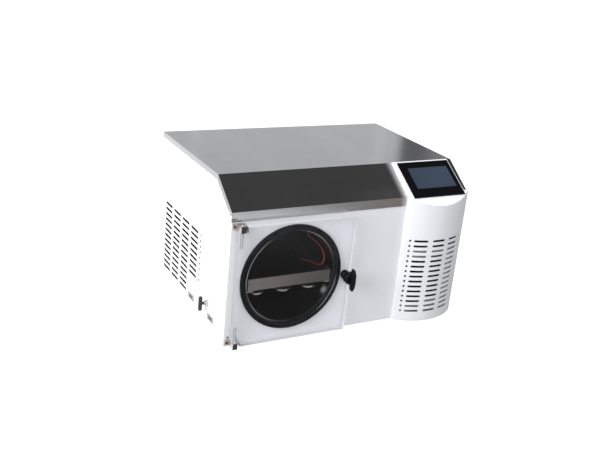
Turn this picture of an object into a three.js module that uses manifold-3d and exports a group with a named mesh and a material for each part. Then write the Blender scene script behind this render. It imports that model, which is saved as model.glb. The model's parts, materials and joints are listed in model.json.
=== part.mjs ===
// Benchtop freeze dryer: white sheet-metal body under a folded stainless cover, a round vacuum
// chamber behind a clear hinged door, and a curved control tower with a sloping screen.
// Millimetres, +Z up. While it is built, the zero point is the lower left corner of the front
// panel: X runs to the right, Y to the back, Z up.

import * as THREE from 'three';
import { mergeVertices } from 'three/addons/utils/BufferGeometryUtils.js';
import Module from 'manifold-3d';

const wasm = await Module();
wasm.setup();

// ---------------------------------------------------------------- driving dimensions

const gap = 0.3; // clearance between two pieces that touch

const bodyWidth = 600; // over the two side panels
const bodyDepth = 410; // front panel's face to rear panel's face
const bodyHeight = 361; // bottom edge of the panels to the top of the cover
const panelSheet = 1.5;

const coverSheet = 1;
const coverBendY = 79.5; // where the flat top turns down
const coverFootZ = 305; // where the slope turns into the front lip
const coverLip = 21.3;
const coverFlange = 12.5;

const footHeight = 12;
const footRadius = 16;
const footInset = 42;

const basePanFlange = 20;

const ventSlotLength = 43; // louvre slots in the side panels
const ventSlotHeight = 6;
const ventDotRadius = 3;
const ventColumnPitch = 54.8;
const ventRowPitch = 13.54;
const ventRows = 13;
const ventShortRows = 9; // in the front column and the dots
const ventTopZ = 195.6;
const ventRearY = 354.5; // middle of the rear column
const ventDotOffset = 37; // from the front column's middle

const chamberX = 145.5; // axis of the chamber and its door ring
const chamberZ = 148.4;
const chamberRadius = 105.5; // inside of the barrel
const chamberWall = 2;
const chamberDepth = 285;
const chamberFlange = 14;

const gasketWidth = 12.8;
const gasketProud = 8.9;

const traySideClearance = 2.6; // tray's foot to the barrel's wall
const trayDepth = 250;
const trayHeight = 27;
const trayDrop = 23.4; // chamber's axis down to the tray's foot
const traySheet = 1.2;
const trayFrontY = 1.6;
const railWidth = 15;
const railSheet = 2;
const railFrontY = 1;

const coilTubeRadius = 4;
const coilSideClearance = 10.8; // outermost run to the barrel's wall
const coilRuns = 6;
const coilDrop = 42.9; // chamber's axis down to the coil's middle
const coilFrontY = 19; // outermost face of the front bends
const coilBackY = 262;
const coilBarWidth = 12; // flat bars across the barrel that carry the coil
const coilBarThickness = 3;
const coilBarFrontY = 75;
const coilBarRearY = 215;

const doorLeft = 9.8;
const doorWidth = 276;
const doorBottom = 7.2;
const doorHeight = 272.4;
const doorThickness = 15;

const pinX = 16;
const pinRadius = 3;
const pinReach = 34; // how far a hinge pin goes into the door
const hingeArmWidth = 11;
const hingeArmHeight = 13.5;
const hingeUpperZ = 268; // underside of the upper arm
const hingeLowerTopZ = 16; // top of the lower arm
const hingeFlangeThickness = 3;
const hingeFlangeLeft = 9; // how far the flange reaches beyond the arm
const hingeFlangeRight = 7;
const hingeScrewRadius = 2.6;
const hingeScrewHead = 2;

const latchX = 281;
const latchZ = 137;
const latchStudRadius = 4;
const latchBushPlay = 2.2; // lets the stud swing clear with the door
const latchBushWall = 4.2;
const latchBushProud = 7.4; // from the panel's face to the bush's front
const latchNeckWall = 1.6; // the bush's neck, which passes through the panel
const latchNeckReach = 4;
const latchCollarRadius = 9;
const latchCollarThickness = 1.2;
const studTip = -0.6; // the stud ends inside the bush, in front of the panel's face
const latchHubRadius = 14;
const latchHubLength = 13.5;
const wingSpan = 52;
const wingWidth = 11; // at its waist
const wingDepth = 14;

const towerWidth = 173.4; // left wall to right wall
const towerCornerRadius = 8;
const towerRightRadius = 2.5;
const towerWrap = 6; // how far the right wall reaches back over the side panel
const bulgeProud = 35.2;
const bulgeEndProud = 1.25; // where the curve meets the right wall
const bulgeShift = 4.1; // middle of the bulge, left of the tower's middle

const grilleRows = 15;
const grilleRowPitch = 12.63;
const grilleTopZ = 203.2;
const grilleSlotLength = 34.2;
const grilleSlotHeight = 5;
const grilleColumnPitch = 46.4; // along the curve
const grilleDotPitch = 72.7;
const grilleDotRadius = 2.8;

const headAngle = 32.9; // degrees from level
const headRise = 2.4; // plate above the cover at the bend
const headRightMargin = 11; // steel left bare beside the plate
const headSkirt = 11;

const bezelWidth = 143.6;
const bezelLength = 103.4;
const bezelFace = 1.8; // thickness of the rim that lies on the head
const bezelDepth = 8; // how far its body reaches down through the head
const bezelRim = 5; // width of the rim beyond the body
const bezelLeftMargin = 12;
const bezelTopMargin = 4.8;
const screenWidth = 112;
const screenLength = 61;
const screenLeftMargin = 21;
const screenTopMargin = 17;
const glassSunk = 0.8; // below the bezel's face
const glassThickness = 2;
const moduleDeck = 6; // thickness of the display's frame under the bezel
const moduleInset = 2;
const boardWidth = 120;
const boardLength = 80;
const boardThickness = 1.6;

const valveY = 98;
const valveZ = 57.5;
const valveHandleLength = 35;
const valveHandleRadius = 4.5;
const valveHandleReach = 16; // bar's middle from the side panel

const labelWidth = 32;
const labelHeight = 14;
const labelMidZ = 29.5;
const labelRearY = 191;
const labelFrontY = 76;

// ---------------------------------------------------------------- finishes

const whitePaint = { color: 0xf0f1f4, roughness: 0.3, metalness: 0 };
const satinSteel = { color: 0x8c8c8e, roughness: 0.3, metalness: 0.9 };
const brightSteel = { color: 0xc9c8c4, roughness: 0.2, metalness: 0.95 };
const trayFinish = { color: 0x8f887c, roughness: 0.35, metalness: 0.8 };
const clearAcrylic = { color: 0xf6f8fb, roughness: 0.05, metalness: 0, transparent: true, opacity: 0.3 };
const blackRubber = { color: 0x1b1b1e, roughness: 0.55, metalness: 0 };
const blackPlastic = { color: 0x151517, roughness: 0.4, metalness: 0 };
const galvanised = { color: 0xb9bcc0, roughness: 0.45, metalness: 0.7 };
const copper = { color: 0xb4653a, roughness: 0.3, metalness: 0.9 };
const blackEnamel = { color: 0x222226, roughness: 0.45, metalness: 0.1 };
const finAluminium = { color: 0xc8cbd0, roughness: 0.4, metalness: 0.8 };
const boardGreen = { color: 0x1f5a3a, roughness: 0.5, metalness: 0 };
const screenBlue = { color: 0x46566b, roughness: 0.2, metalness: 0 };
const labelGrey = { color: 0xa9abb0, roughness: 0.5, metalness: 0.2 };
const probeRed = { color: 0xb0303a, roughness: 0.4, metalness: 0 };

// ---------------------------------------------------------------- geometry helpers

const model = new THREE.Group();

function addPart(name, geometry, finish, parent = model) {
  const mesh = new THREE.Mesh(geometry, new THREE.MeshStandardMaterial(finish));
  mesh.name = name;
  parent.add(mesh);
  return mesh;
}

// A closed solid for the boolean library, with shared corners merged and slivers dropped.
function toSolid(geometry) {
  const bare = geometry.clone();
  bare.deleteAttribute('normal');
  bare.deleteAttribute('uv');
  const merged = mergeVertices(bare, 1e-4);
  const corners = merged.index.array;
  const kept = [];
  for (let i = 0; i < corners.length; i += 3) {
    const [a, b, c] = [corners[i], corners[i + 1], corners[i + 2]];
    if (a !== b && b !== c && c !== a) kept.push(a, b, c);
  }
  return new wasm.Manifold(new wasm.Mesh({
    numProp: 3,
    vertProperties: new Float32Array(merged.attributes.position.array),
    triVerts: new Uint32Array(kept),
  }));
}

function toGeometry(solid) {
  const { vertProperties, triVerts } = solid.getMesh();
  const geometry = new THREE.BufferGeometry();
  geometry.setAttribute('position', new THREE.BufferAttribute(vertProperties, 3));
  geometry.setIndex(new THREE.BufferAttribute(triVerts, 1));
  geometry.computeVertexNormals();
  return geometry;
}

function join(...geometries) {
  return toGeometry(geometries.map(toSolid).reduce((whole, piece) => whole.add(piece)));
}

function cut(geometry, ...tools) {
  const tool = tools.map(toSolid).reduce((whole, piece) => whole.add(piece));
  return toGeometry(toSolid(geometry).subtract(tool));
}

function common(geometry, other) {
  return toGeometry(toSolid(geometry).intersect(toSolid(other)));
}

function block([x0, x1], [y0, y1], [z0, z1]) {
  return new THREE.BoxGeometry(x1 - x0, y1 - y0, z1 - z0)
    .translate((x0 + x1) / 2, (y0 + y1) / 2, (z0 + z1) / 2);
}

function circle(u, v, radius, sides, from = 0, sweep = 2 * Math.PI) {
  const full = Math.abs(sweep) >= 2 * Math.PI - 1e-9;
  return Array.from({ length: full ? sides : sides + 1 }, (_, i) => {
    const angle = from + (sweep * i) / sides;
    return [u + radius * Math.cos(angle), v + radius * Math.sin(angle)];
  });
}

// A slot with half-round ends, as an outline about its middle.
function slotOutline(u, v, length, height) {
  const r = height / 2;
  const half = length / 2 - r;
  const endSides = 3;
  return [
    ...circle(u + half, v, r, endSides, -Math.PI / 2, Math.PI),
    ...circle(u - half, v, r, endSides, Math.PI / 2, Math.PI),
  ];
}

function outlineShape(points, holes = []) {
  const shape = new THREE.Shape(points.map(([u, v]) => new THREE.Vector2(u, v)));
  for (const hole of holes) {
    shape.holes.push(new THREE.Path(hole.map(([u, v]) => new THREE.Vector2(u, v))));
  }
  return shape;
}

function extruded(points, depth, holes) {
  return new THREE.ExtrudeGeometry(outlineShape(points, holes), { depth, bevelEnabled: false });
}

// Outline in X and Y, raised from z0 to z1.
function prismZ(points, z0, z1, holes = []) {
  return extruded(points, z1 - z0, holes).translate(0, 0, z0);
}

// Outline in X and Z, running from y0 to y1.
function prismY(points, y0, y1, holes = []) {
  return extruded(points, y1 - y0, holes).rotateX(Math.PI / 2).translate(0, y1, 0);
}

// Outline in Y and Z, running from x0 to x1.
function prismX(points, x0, x1, holes = []) {
  const turn = new THREE.Matrix4().makeBasis(
    new THREE.Vector3(0, 1, 0), new THREE.Vector3(0, 0, 1), new THREE.Vector3(1, 0, 0),
  );
  return extruded(points, x1 - x0, holes).applyMatrix4(turn).translate(x0, 0, 0);
}

// Turned faces outwards if the profile ran the other way round.
function outward(geometry) {
  const position = geometry.attributes.position;
  const corners = geometry.index.array;
  const [a, b, c] = [new THREE.Vector3(), new THREE.Vector3(), new THREE.Vector3()];
  let volume = 0;
  for (let i = 0; i < corners.length; i += 3) {
    a.fromBufferAttribute(position, corners[i]);
    b.fromBufferAttribute(position, corners[i + 1]);
    c.fromBufferAttribute(position, corners[i + 2]);
    volume += a.dot(b.cross(c));
  }
  if (volume < 0) {
    for (let i = 0; i < corners.length; i += 3) {
      [corners[i], corners[i + 1]] = [corners[i + 1], corners[i]];
    }
    geometry.computeVertexNormals();
  }
  return geometry;
}

// A turned piece about the Y axis. Profile points are [radius, y].
function turnedY(profile, segments) {
  const points = profile.map(([r, y]) => new THREE.Vector2(r, y));
  return outward(new THREE.LatheGeometry(points, segments));
}

const turnedZ = (profile, segments) => turnedY(profile, segments).rotateX(Math.PI / 2);
const turnedX = (profile, segments) => turnedY(profile, segments).rotateZ(-Math.PI / 2);

// A plain round bar along Y between two places on the axis.
function roundBar(radius, y0, y1, sides) {
  return turnedY([[0, y0], [radius, y0], [radius, y1], [0, y1]], sides);
}

// A ring about the Y axis with square corners.
function ring(inner, outer, y0, y1, segments) {
  return turnedY([[inner, y0], [outer, y0], [outer, y1], [inner, y1], [inner, y0]], segments);
}

// Each point of a polyline moved sideways by a distance, corners mitred. Positive is to the left.
function sideStep(points, distance) {
  const normals = points.slice(1).map(([u, v], i) => {
    const [du, dv] = [u - points[i][0], v - points[i][1]];
    const length = Math.hypot(du, dv);
    return [-dv / length, du / length];
  });
  return points.map(([u, v], i) => {
    const before = normals[Math.max(i - 1, 0)];
    const after = normals[Math.min(i, normals.length - 1)];
    const share = distance / (1 + before[0] * after[0] + before[1] * after[1]);
    return [u + (before[0] + after[0]) * share, v + (before[1] + after[1]) * share];
  });
}

// The outline of a folded sheet: a polyline, and the same polyline one thickness to its left.
function sheetOutline(points, thickness) {
  return [...points, ...sideStep(points, thickness).reverse()];
}

// A path whose stations are exactly the given points, so straight runs need no extra steps.
class StationPath extends THREE.Curve {
  constructor(stations) {
    super();
    this.stations = stations;
  }

  getPoint(t, target = new THREE.Vector3()) {
    const place = t * (this.stations.length - 1);
    const first = Math.min(Math.floor(place + 1e-9), this.stations.length - 2);
    return target.lerpVectors(this.stations[first], this.stations[first + 1], place - first);
  }

  getPointAt(t, target) {
    return this.getPoint(t, target);
  }

  getTangentAt(t, target = new THREE.Vector3()) {
    const last = this.stations.length - 1;
    const here = Math.round(t * last);
    const before = this.stations[Math.max(here - 1, 0)];
    const after = this.stations[Math.min(here + 1, last)];
    return target.copy(after).sub(before).normalize();
  }
}

// Straight runs between points, with each corner rounded over `bend` millimetres of run.
function bentStations(points, bend, cornerSteps = 4) {
  const at = points.map((p) => new THREE.Vector3(...p));
  const stations = [at[0]];
  for (let i = 1; i < at.length - 1; i += 1) {
    const back = at[i - 1].clone().sub(at[i]);
    const ahead = at[i + 1].clone().sub(at[i]);
    const reach = Math.min(bend, back.length() * 0.45, ahead.length() * 0.45);
    const from = at[i].clone().addScaledVector(back.normalize(), reach);
    const to = at[i].clone().addScaledVector(ahead.normalize(), reach);
    const corner = new THREE.QuadraticBezierCurve3(from, at[i], to);
    stations.push(...corner.getPoints(cornerSteps));
  }
  stations.push(at[at.length - 1]);
  return stations;
}

function tube(stations, radius, sides = 8) {
  const section = outlineShape(circle(0, 0, radius, sides));
  return outward(mergeVertices(new THREE.ExtrudeGeometry(section, {
    steps: stations.length - 1, extrudePath: new StationPath(stations), bevelEnabled: false,
  }), 1e-4));
}

const pipe = (points, radius, bend) => tube(bentStations(points, bend), radius);

// ---------------------------------------------------------------- shared places

const coverReach = coverSheet + gap; // cover's outer face beyond the panels
const coverOuter = [ // front lip to rear edge
  [-coverReach, coverFootZ - coverLip],
  [-coverReach, coverFootZ],
  [coverBendY, bodyHeight],
  [bodyDepth + coverReach, bodyHeight],
];
const underCover = sideStep(coverOuter, -(coverSheet + gap)); // where the panels' edges stop

// Height of the room under the sloping part of the cover at one depth.
function slopeUnder(y) {
  const [, [y0, z0], [y1, z1]] = underCover;
  return z0 + ((y - y0) * (z1 - z0)) / (y1 - y0);
}

const panelTopZ = bodyHeight - coverSheet - gap;
const sideFrontY = panelSheet + gap;
const sideBackY = bodyDepth - panelSheet - gap;
const floorTopZ = panelSheet; // upper face of the base pan

const barrelOuterRadius = chamberRadius + chamberWall;
const barrelBackY = chamberDepth + chamberWall;
const gasketInnerRadius = barrelOuterRadius + gap;
const gasketOuterRadius = gasketInnerRadius + gasketWidth;
const trayBaseZ = chamberZ - trayDrop;
const coilZ = chamberZ - coilDrop;
const latchBoreRadius = latchStudRadius + latchBushPlay;
const latchNeckRadius = latchBoreRadius + latchNeckWall;

const towerRight = bodyWidth + coverReach + 2 * gap + panelSheet; // just outside the cover
const towerLeft = towerRight - towerWidth;
const bulgeX = (towerLeft + towerRight) / 2 - bulgeShift;
const bulgeRise = bulgeProud - bulgeEndProud;
const bulgeRadius = ((towerRight - bulgeX) ** 2 + bulgeRise ** 2) / (2 * bulgeRise);
const bulgeY = bulgeRadius - bulgeProud; // centre of the bulge's arc, behind the panel

const headSlope = Math.tan(THREE.MathUtils.degToRad(headAngle));
const headPlane = (y) => bodyHeight + headRise + (y - coverBendY) * headSlope;
const headTopY = coverBendY - coverSheet - gap;
const headRight = bodyWidth - headRightMargin;
const lipFrontY = -coverReach - gap; // just in front of the cover's lip

const doorBackY = -(gasketProud + gap);
const doorFrontY = doorBackY - doorThickness;
const pinY = (doorBackY + doorFrontY) / 2;
const doorRight = doorLeft + doorWidth;
const doorTop = doorBottom + doorHeight;

const smoothSides = 48;
const smallSides = 12;

const shifted = (geometry, x, y, z) => geometry.translate(x, y, z);
const aboutChamber = (geometry) => shifted(geometry, chamberX, 0, chamberZ);

// ---------------------------------------------------------------- body shell

function ventHoles() {
  const holes = [];
  for (let column = 0; column < 4; column += 1) {
    const y = ventRearY - column * ventColumnPitch;
    const rows = column < 3 ? ventRows : ventShortRows;
    for (let row = 0; row < rows; row += 1) {
      holes.push(slotOutline(y, ventTopZ - row * ventRowPitch, ventSlotLength, ventSlotHeight));
    }
  }
  const dotY = ventRearY - 3 * ventColumnPitch - ventDotOffset;
  for (let row = 0; row < ventShortRows; row += 1) {
    holes.push(circle(dotY, ventTopZ - row * ventRowPitch, ventDotRadius, 6));
  }
  return holes;
}

function buildSidePanels() {
  const outline = [
    [sideFrontY, 0], [sideBackY, 0], [sideBackY, panelTopZ],
    [underCover[2][0], panelTopZ], [sideFrontY, slopeUnder(sideFrontY)],
  ];
  const valveHole = circle(valveY, valveZ, 5, smallSides);
  addPart('left_side_panel', prismX(outline, 0, panelSheet, [...ventHoles(), valveHole]), whitePaint);
  addPart('right_side_panel', prismX(outline, bodyWidth - panelSheet, bodyWidth, ventHoles()), whitePaint);
}

const towerWindow = { // opening in the front panel behind the tower
  x: [towerLeft + 10, towerRight - 10], z: [14, 262],
};
const screenNotch = { x: [towerLeft - gap, headRight + gap], z: 286 }; // room for the screen's back

function rectangle([u0, u1], [v0, v1]) {
  return [[u0, v0], [u1, v0], [u1, v1], [u0, v1]];
}

function buildFrontPanel() {
  const top = slopeUnder(0);
  const [notchLeft, notchRightEnd] = screenNotch.x;
  const outline = [[0, 0], [bodyWidth, 0], [bodyWidth, top], [notchRightEnd, top],
    [notchRightEnd, screenNotch.z], [notchLeft, screenNotch.z], [notchLeft, top], [0, top]];
  const holes = [
    circle(chamberX, chamberZ, barrelOuterRadius + gap, smoothSides),
    circle(latchX, latchZ, latchNeckRadius + gap, 18),
    rectangle(towerWindow.x, towerWindow.z),
  ];
  addPart('front_panel', prismY(outline, 0, panelSheet, holes), whitePaint);
}

const rearVentX = 430; // middle of the rear panel's first column of slots
const portX = chamberX;
const portZ = chamberZ + 45;
const portRadius = 14; // outside of the pump port's neck
const portWall = 2;
const portFlangeRadius = 20;
const portProud = 24; // how far the port stands out of the rear panel
const inletX = 330;
const inletZ = 60;
const inletWidth = 62;
const inletHeight = 34;
const inletRim = 5;
const inletPlate = 2.4;
const inletReach = 30; // how far its body reaches into the casing
const socketWidth = 26;
const socketHeight = 17;
const socketDepth = 16;
const rockerWidth = 14;
const rockerRest = 8; // degrees of tilt at rest

function buildRearPanel() {
  const outline = rectangle([0, bodyWidth], [0, panelTopZ]);
  const holes = [
    circle(portX, portZ, portRadius + gap, 24),
    rectangle([inletX - inletWidth / 2, inletX + inletWidth / 2],
      [inletZ - inletHeight / 2, inletZ + inletHeight / 2]),
  ];
  for (let column = 0; column < 2; column += 1) {
    for (let row = 0; row < ventShortRows; row += 1) {
      holes.push(slotOutline(rearVentX + column * ventColumnPitch, ventTopZ - row * ventRowPitch,
        ventSlotLength, ventSlotHeight));
    }
  }
  addPart('rear_panel', prismY(outline, bodyDepth - panelSheet, bodyDepth, holes), whitePaint);
}

function buildBasePan() {
  const inset = panelSheet + gap;
  const span = { x: [inset, bodyWidth - inset], y: [sideFrontY, sideBackY] };
  const hollow = block([span.x[0] + panelSheet, span.x[1] - panelSheet],
    [span.y[0] + panelSheet, span.y[1] - panelSheet], [floorTopZ, basePanFlange + 1]);
  addPart('base_pan', cut(block(span.x, span.y, [0, basePanFlange]), hollow), galvanised);
}

function buildFeet() {
  const profile = [[0, -footHeight], [footRadius * 0.8, -footHeight],
    [footRadius, -footHeight + 3], [footRadius, -gap], [0, -gap]];
  for (const [sideName, x] of [['left', footInset], ['right', bodyWidth - footInset]]) {
    for (const [endName, y] of [['front', footInset], ['rear', bodyDepth - footInset]]) {
      const foot = addPart(`foot_${endName}_${sideName}`, turnedZ(profile, 20), blackRubber);
      foot.position.set(x, y, 0);
    }
  }
}

// The cover is its silhouette from the side, hollowed to the sheet's thickness and open below.
function buildTopCover() {
  const [lipFoot, lipTop, bend, rear] = coverOuter;
  const [flangeFront, flangeBend, flangeRear] = sideStep([lipTop, bend, rear], -coverFlange);
  const lipBack = lipTop[0] + coverSheet;
  const flangeCut = coverSheet * ((lipTop[1] - flangeFront[1]) / (flangeFront[0] - lipTop[0]));
  const silhouette = [lipFoot, lipTop, bend, rear, flangeRear, flangeBend, flangeFront,
    [lipBack, lipTop[1] - flangeCut], [lipBack, lipFoot[1]]];
  const [, lipInner, bendInner] = sideStep(coverOuter, -coverSheet);
  const rearInner = [rear[0] - coverSheet, rear[1] - coverSheet];
  const floor = lipFoot[1] - 50;
  const hollow = [[lipInner[0], floor], lipInner, bendInner, rearInner, [rearInner[0], floor]];
  const headOpening = block([towerLeft - gap, headRight + gap], [-coverReach - 1, headTopY + gap],
    [coverFootZ - coverLip - 1, bodyHeight + 1]);
  addPart('top_cover', cut(prismX(silhouette, -coverReach, bodyWidth + coverReach),
    prismX(hollow, -gap, bodyWidth + gap), headOpening), satinSteel);
}

// ---------------------------------------------------------------- control tower

// Plan of the tower's front sheet from its left wall round the bulge to its right wall.
function towerPlan() {
  const corner = (x, radius) => {
    const run = bulgeRadius - radius;
    return [x, bulgeY - Math.sqrt(run ** 2 - (x - bulgeX) ** 2)];
  };
  const [lx, ly] = corner(towerLeft + towerCornerRadius, towerCornerRadius);
  const [rx, ry] = corner(towerRight - towerRightRadius, towerRightRadius);
  const leftAngle = Math.atan2(ly - bulgeY, lx - bulgeX);
  const rightAngle = Math.atan2(ry - bulgeY, rx - bulgeX);
  return [
    [towerLeft, -gap],
    ...circle(lx, ly, towerCornerRadius, 5, -Math.PI, leftAngle + Math.PI),
    ...circle(bulgeX, bulgeY, bulgeRadius, 18, leftAngle, rightAngle - leftAngle).slice(1, -1),
    ...circle(rx, ry, towerRightRadius, 3, rightAngle, -rightAngle),
    [towerRight, towerWrap],
  ];
}

// Everything above the plane that lies `drop` below the head's sloping face.
function aboveHead(drop, thickness = 400) {
  const slope = new THREE.BoxGeometry(2000, 1000, thickness);
  slope.translate(0, 0, thickness / 2);
  slope.rotateX(THREE.MathUtils.degToRad(headAngle));
  const cosine = Math.cos(THREE.MathUtils.degToRad(headAngle));
  return slope.translate(bulgeX, coverBendY, bodyHeight + headRise - drop / cosine);
}

function grilleCutters() {
  const cutters = [];
  const place = (outline, along, z) => {
    const angle = along / bulgeRadius;
    cutters.push(prismY(outline, -8, 8).rotateZ(angle).translate(
      bulgeX + bulgeRadius * Math.sin(angle), bulgeY - bulgeRadius * Math.cos(angle), z,
    ));
  };
  for (let row = 0; row < grilleRows; row += 1) {
    const z = grilleTopZ - row * grilleRowPitch;
    for (const column of [-1, 0, 1]) {
      place(slotOutline(0, 0, grilleSlotLength, grilleSlotHeight), column * grilleColumnPitch, z);
    }
    for (const side of [-1, 1]) {
      place(circle(0, 0, grilleDotRadius, 6), side * grilleDotPitch, z);
    }
  }
  return cutters;
}

function buildTowerFront() {
  const wall = prismZ(sheetOutline(towerPlan(), panelSheet), 0, bodyHeight);
  const plateAndGap = panelSheet + gap;
  const lipRoom = block([headRight - 2, bodyWidth + coverReach + gap], [lipFrontY, towerWrap + 1],
    [coverFootZ - coverLip - gap, bodyHeight]);
  addPart('tower_front', cut(wall, aboveHead(plateAndGap), lipRoom, ...grilleCutters()), whitePaint);
}

function buildTowerFloor() {
  const inside = sideStep(towerPlan(), panelSheet + gap).filter(([, y]) => y < -gap);
  const plan = [[inside[0][0], -gap], ...inside, [inside[inside.length - 1][0], -gap]];
  addPart('tower_floor', prismZ(plan, 0, panelSheet), galvanised);
}

const bezelMid = { // middle of the bezel on the head's face
  x: towerLeft + bezelLeftMargin + bezelWidth / 2,
  down: bezelTopMargin + bezelLength / 2,
};

// A group whose XY plane is the head's sloping face, with its origin at the bezel's middle.
const head = new THREE.Group();
head.rotation.x = THREE.MathUtils.degToRad(headAngle);
const headCosine = Math.cos(head.rotation.x);
head.position.set(bezelMid.x, headTopY - bezelMid.down * headCosine,
  headPlane(headTopY - bezelMid.down * headCosine));
model.add(head);

// The bezel's outline about its middle, drawn in all round by a margin.
function bezelOutline(inset) {
  const [halfWidth, halfLength] = [bezelWidth / 2 - inset, bezelLength / 2 - inset];
  return rectangle([-halfWidth, halfWidth], [-halfLength, halfLength]);
}

function headTool(geometry) {
  head.updateMatrix();
  return geometry.applyMatrix4(head.matrix);
}

function buildTowerTop() {
  const front = towerPlan().filter(([, y]) => y < lipFrontY);
  const plan = [
    [towerLeft, headTopY], ...front, [front[front.length - 1][0], lipFrontY],
    [headRight, lipFrontY], [headRight, headTopY],
  ];
  const slab = (drop) => cut(aboveHead(drop, 60), aboveHead(0));
  const tall = [bodyHeight / 2, bodyHeight * 1.5]; // spans every height of the head
  const plate = common(prismZ(plan, ...tall), slab(panelSheet));
  const skirtPlan = [
    [towerLeft, gap], [towerLeft + panelSheet, gap],
    [towerLeft + panelSheet, headTopY - panelSheet], [headRight - panelSheet, headTopY - panelSheet],
    [headRight - panelSheet, gap], [headRight, gap], [headRight, headTopY], [towerLeft, headTopY],
  ];
  const skirt = common(prismZ(skirtPlan, ...tall), slab(headSkirt));
  const window = headTool(prismZ(bezelOutline(bezelRim - gap), -5, 5));
  addPart('tower_top', cut(join(plate, skirt), window), whitePaint);
}

function buildScreen() {
  const left = -bezelWidth / 2 + screenLeftMargin;
  const top = bezelLength / 2 - screenTopMargin;
  const active = rectangle([left, left + screenWidth], [top - screenLength, top]);
  const rim = prismZ(bezelOutline(0), gap, gap + bezelFace, [active]);
  const body = prismZ(bezelOutline(bezelRim), -bezelDepth, gap + bezelFace, [active]);
  addPart('screen_bezel', join(rim, body), blackPlastic, head);
  const glassTop = gap + bezelFace - glassSunk;
  const glassFloor = glassTop - glassThickness;
  addPart('screen_panel', block([left + gap, left + screenWidth - gap],
    [top - screenLength + gap, top - gap], [glassFloor, glassTop]), screenBlue, head);
  const deckTop = -bezelDepth - gap;
  const deckFloor = deckTop - moduleDeck;
  const deck = prismZ(bezelOutline(bezelRim + 3), deckFloor, deckTop);
  const core = block([left + moduleInset, left + screenWidth - moduleInset],
    [top - screenLength + moduleInset, top - moduleInset], [deckTop - 1, glassFloor - gap]);
  addPart('display_module', join(deck, core), galvanised, head);
  const boardTop = deckFloor - gap;
  const [halfBoard, halfBoardLength] = [boardWidth / 2, boardLength / 2];
  addPart('control_board', block([-halfBoard, halfBoard], [-halfBoardLength, halfBoardLength],
    [boardTop - boardThickness, boardTop]), boardGreen, head);
}

// ---------------------------------------------------------------- vacuum chamber

// Half width of the barrel's inside at a height, less the clearance.
function barrelHalfWidth(z) {
  return Math.sqrt(chamberRadius ** 2 - (z - chamberZ) ** 2) - gap;
}

const trayWidth = 2 * (barrelHalfWidth(trayBaseZ) - traySideClearance);
const coilSpan = 2 * (barrelHalfWidth(coilZ) - coilSideClearance - coilTubeRadius);
const coilPitch = coilSpan / (coilRuns - 1);
const coilLeftX = chamberX - ((coilRuns - 1) / 2) * coilPitch;
const coilRightX = chamberX + ((coilRuns - 1) / 2) * coilPitch;
const coilExitY = barrelBackY + 12;

const glandAngle = THREE.MathUtils.degToRad(35);
const glandY = 85;
const glandRadius = 4;
const ventPortAngle = THREE.MathUtils.degToRad(223);
const ventPortY = 30;
const ventPortRadius = 4.5;

// A round bar that crosses the barrel's wall along a radius.
function radialBar(angle, y, radius, from, to, sides = smallSides) {
  return turnedX([[0, from], [radius, from], [radius, to], [0, to]], sides)
    .rotateY(-angle).translate(chamberX, y, chamberZ);
}

function buildBarrel() {
  const flangeFront = panelSheet + gap;
  const profile = [
    [0, chamberDepth], [chamberRadius, chamberDepth], [chamberRadius, -1], [barrelOuterRadius, -1],
    [barrelOuterRadius, flangeFront], [barrelOuterRadius + chamberFlange, flangeFront],
    [barrelOuterRadius + chamberFlange, flangeFront + 3], [barrelOuterRadius, flangeFront + 3],
    [barrelOuterRadius, barrelBackY], [0, barrelBackY],
  ];
  const throughBack = (x, z, radius, sides = smallSides) => shifted(
    roundBar(radius, chamberDepth - 5, barrelBackY + 5, sides), x, 0, z,
  );
  const wallFrom = chamberRadius - 10;
  const wallTo = barrelOuterRadius + 5;
  const body = cut(
    aboutChamber(turnedY(profile, smoothSides)),
    throughBack(coilLeftX, coilZ, coilTubeRadius + gap),
    throughBack(coilRightX, coilZ, coilTubeRadius + gap),
    throughBack(portX, portZ, portRadius + gap, 24),
    radialBar(glandAngle, glandY, glandRadius + gap, wallFrom, wallTo),
    radialBar(ventPortAngle, ventPortY, ventPortRadius + gap, wallFrom, wallTo),
  );
  addPart('chamber_barrel', body, brightSteel);
}

function buildGasket() {
  const [inner, outer] = [gasketInnerRadius, gasketOuterRadius];
  const front = -gasketProud;
  const round = 2.6;
  const profile = [
    [inner, -gap], [inner, front + round], [inner + 0.8, front + 0.8], [inner + round, front],
    [outer - round, front], [outer - 0.8, front + 0.8], [outer, front + round], [outer, -gap],
    [inner, -gap],
  ];
  addPart('door_gasket', aboutChamber(turnedY(profile, smoothSides)), blackRubber);
}

function buildTray() {
  const front = trayFrontY;
  const x = [chamberX - trayWidth / 2, chamberX + trayWidth / 2];
  const outer = block(x, [front, front + trayDepth], [trayBaseZ, trayBaseZ + trayHeight]);
  const hollow = block([x[0] + traySheet, x[1] - traySheet],
    [front + traySheet, front + trayDepth - traySheet],
    [trayBaseZ + traySheet, trayBaseZ + trayHeight + 1]);
  addPart('tray', cut(outer, hollow), trayFinish);

  const railTop = trayBaseZ - gap;
  const reach = barrelHalfWidth(railTop - railSheet);
  const length = [railFrontY, front + trayDepth];
  const railZ = [railTop - railSheet, railTop];
  addPart('tray_rail_left', block([chamberX - reach, chamberX - reach + railWidth], length, railZ),
    brightSteel);
  addPart('tray_rail_right', block([chamberX + reach - railWidth, chamberX + reach], length, railZ),
    brightSteel);
}

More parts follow.
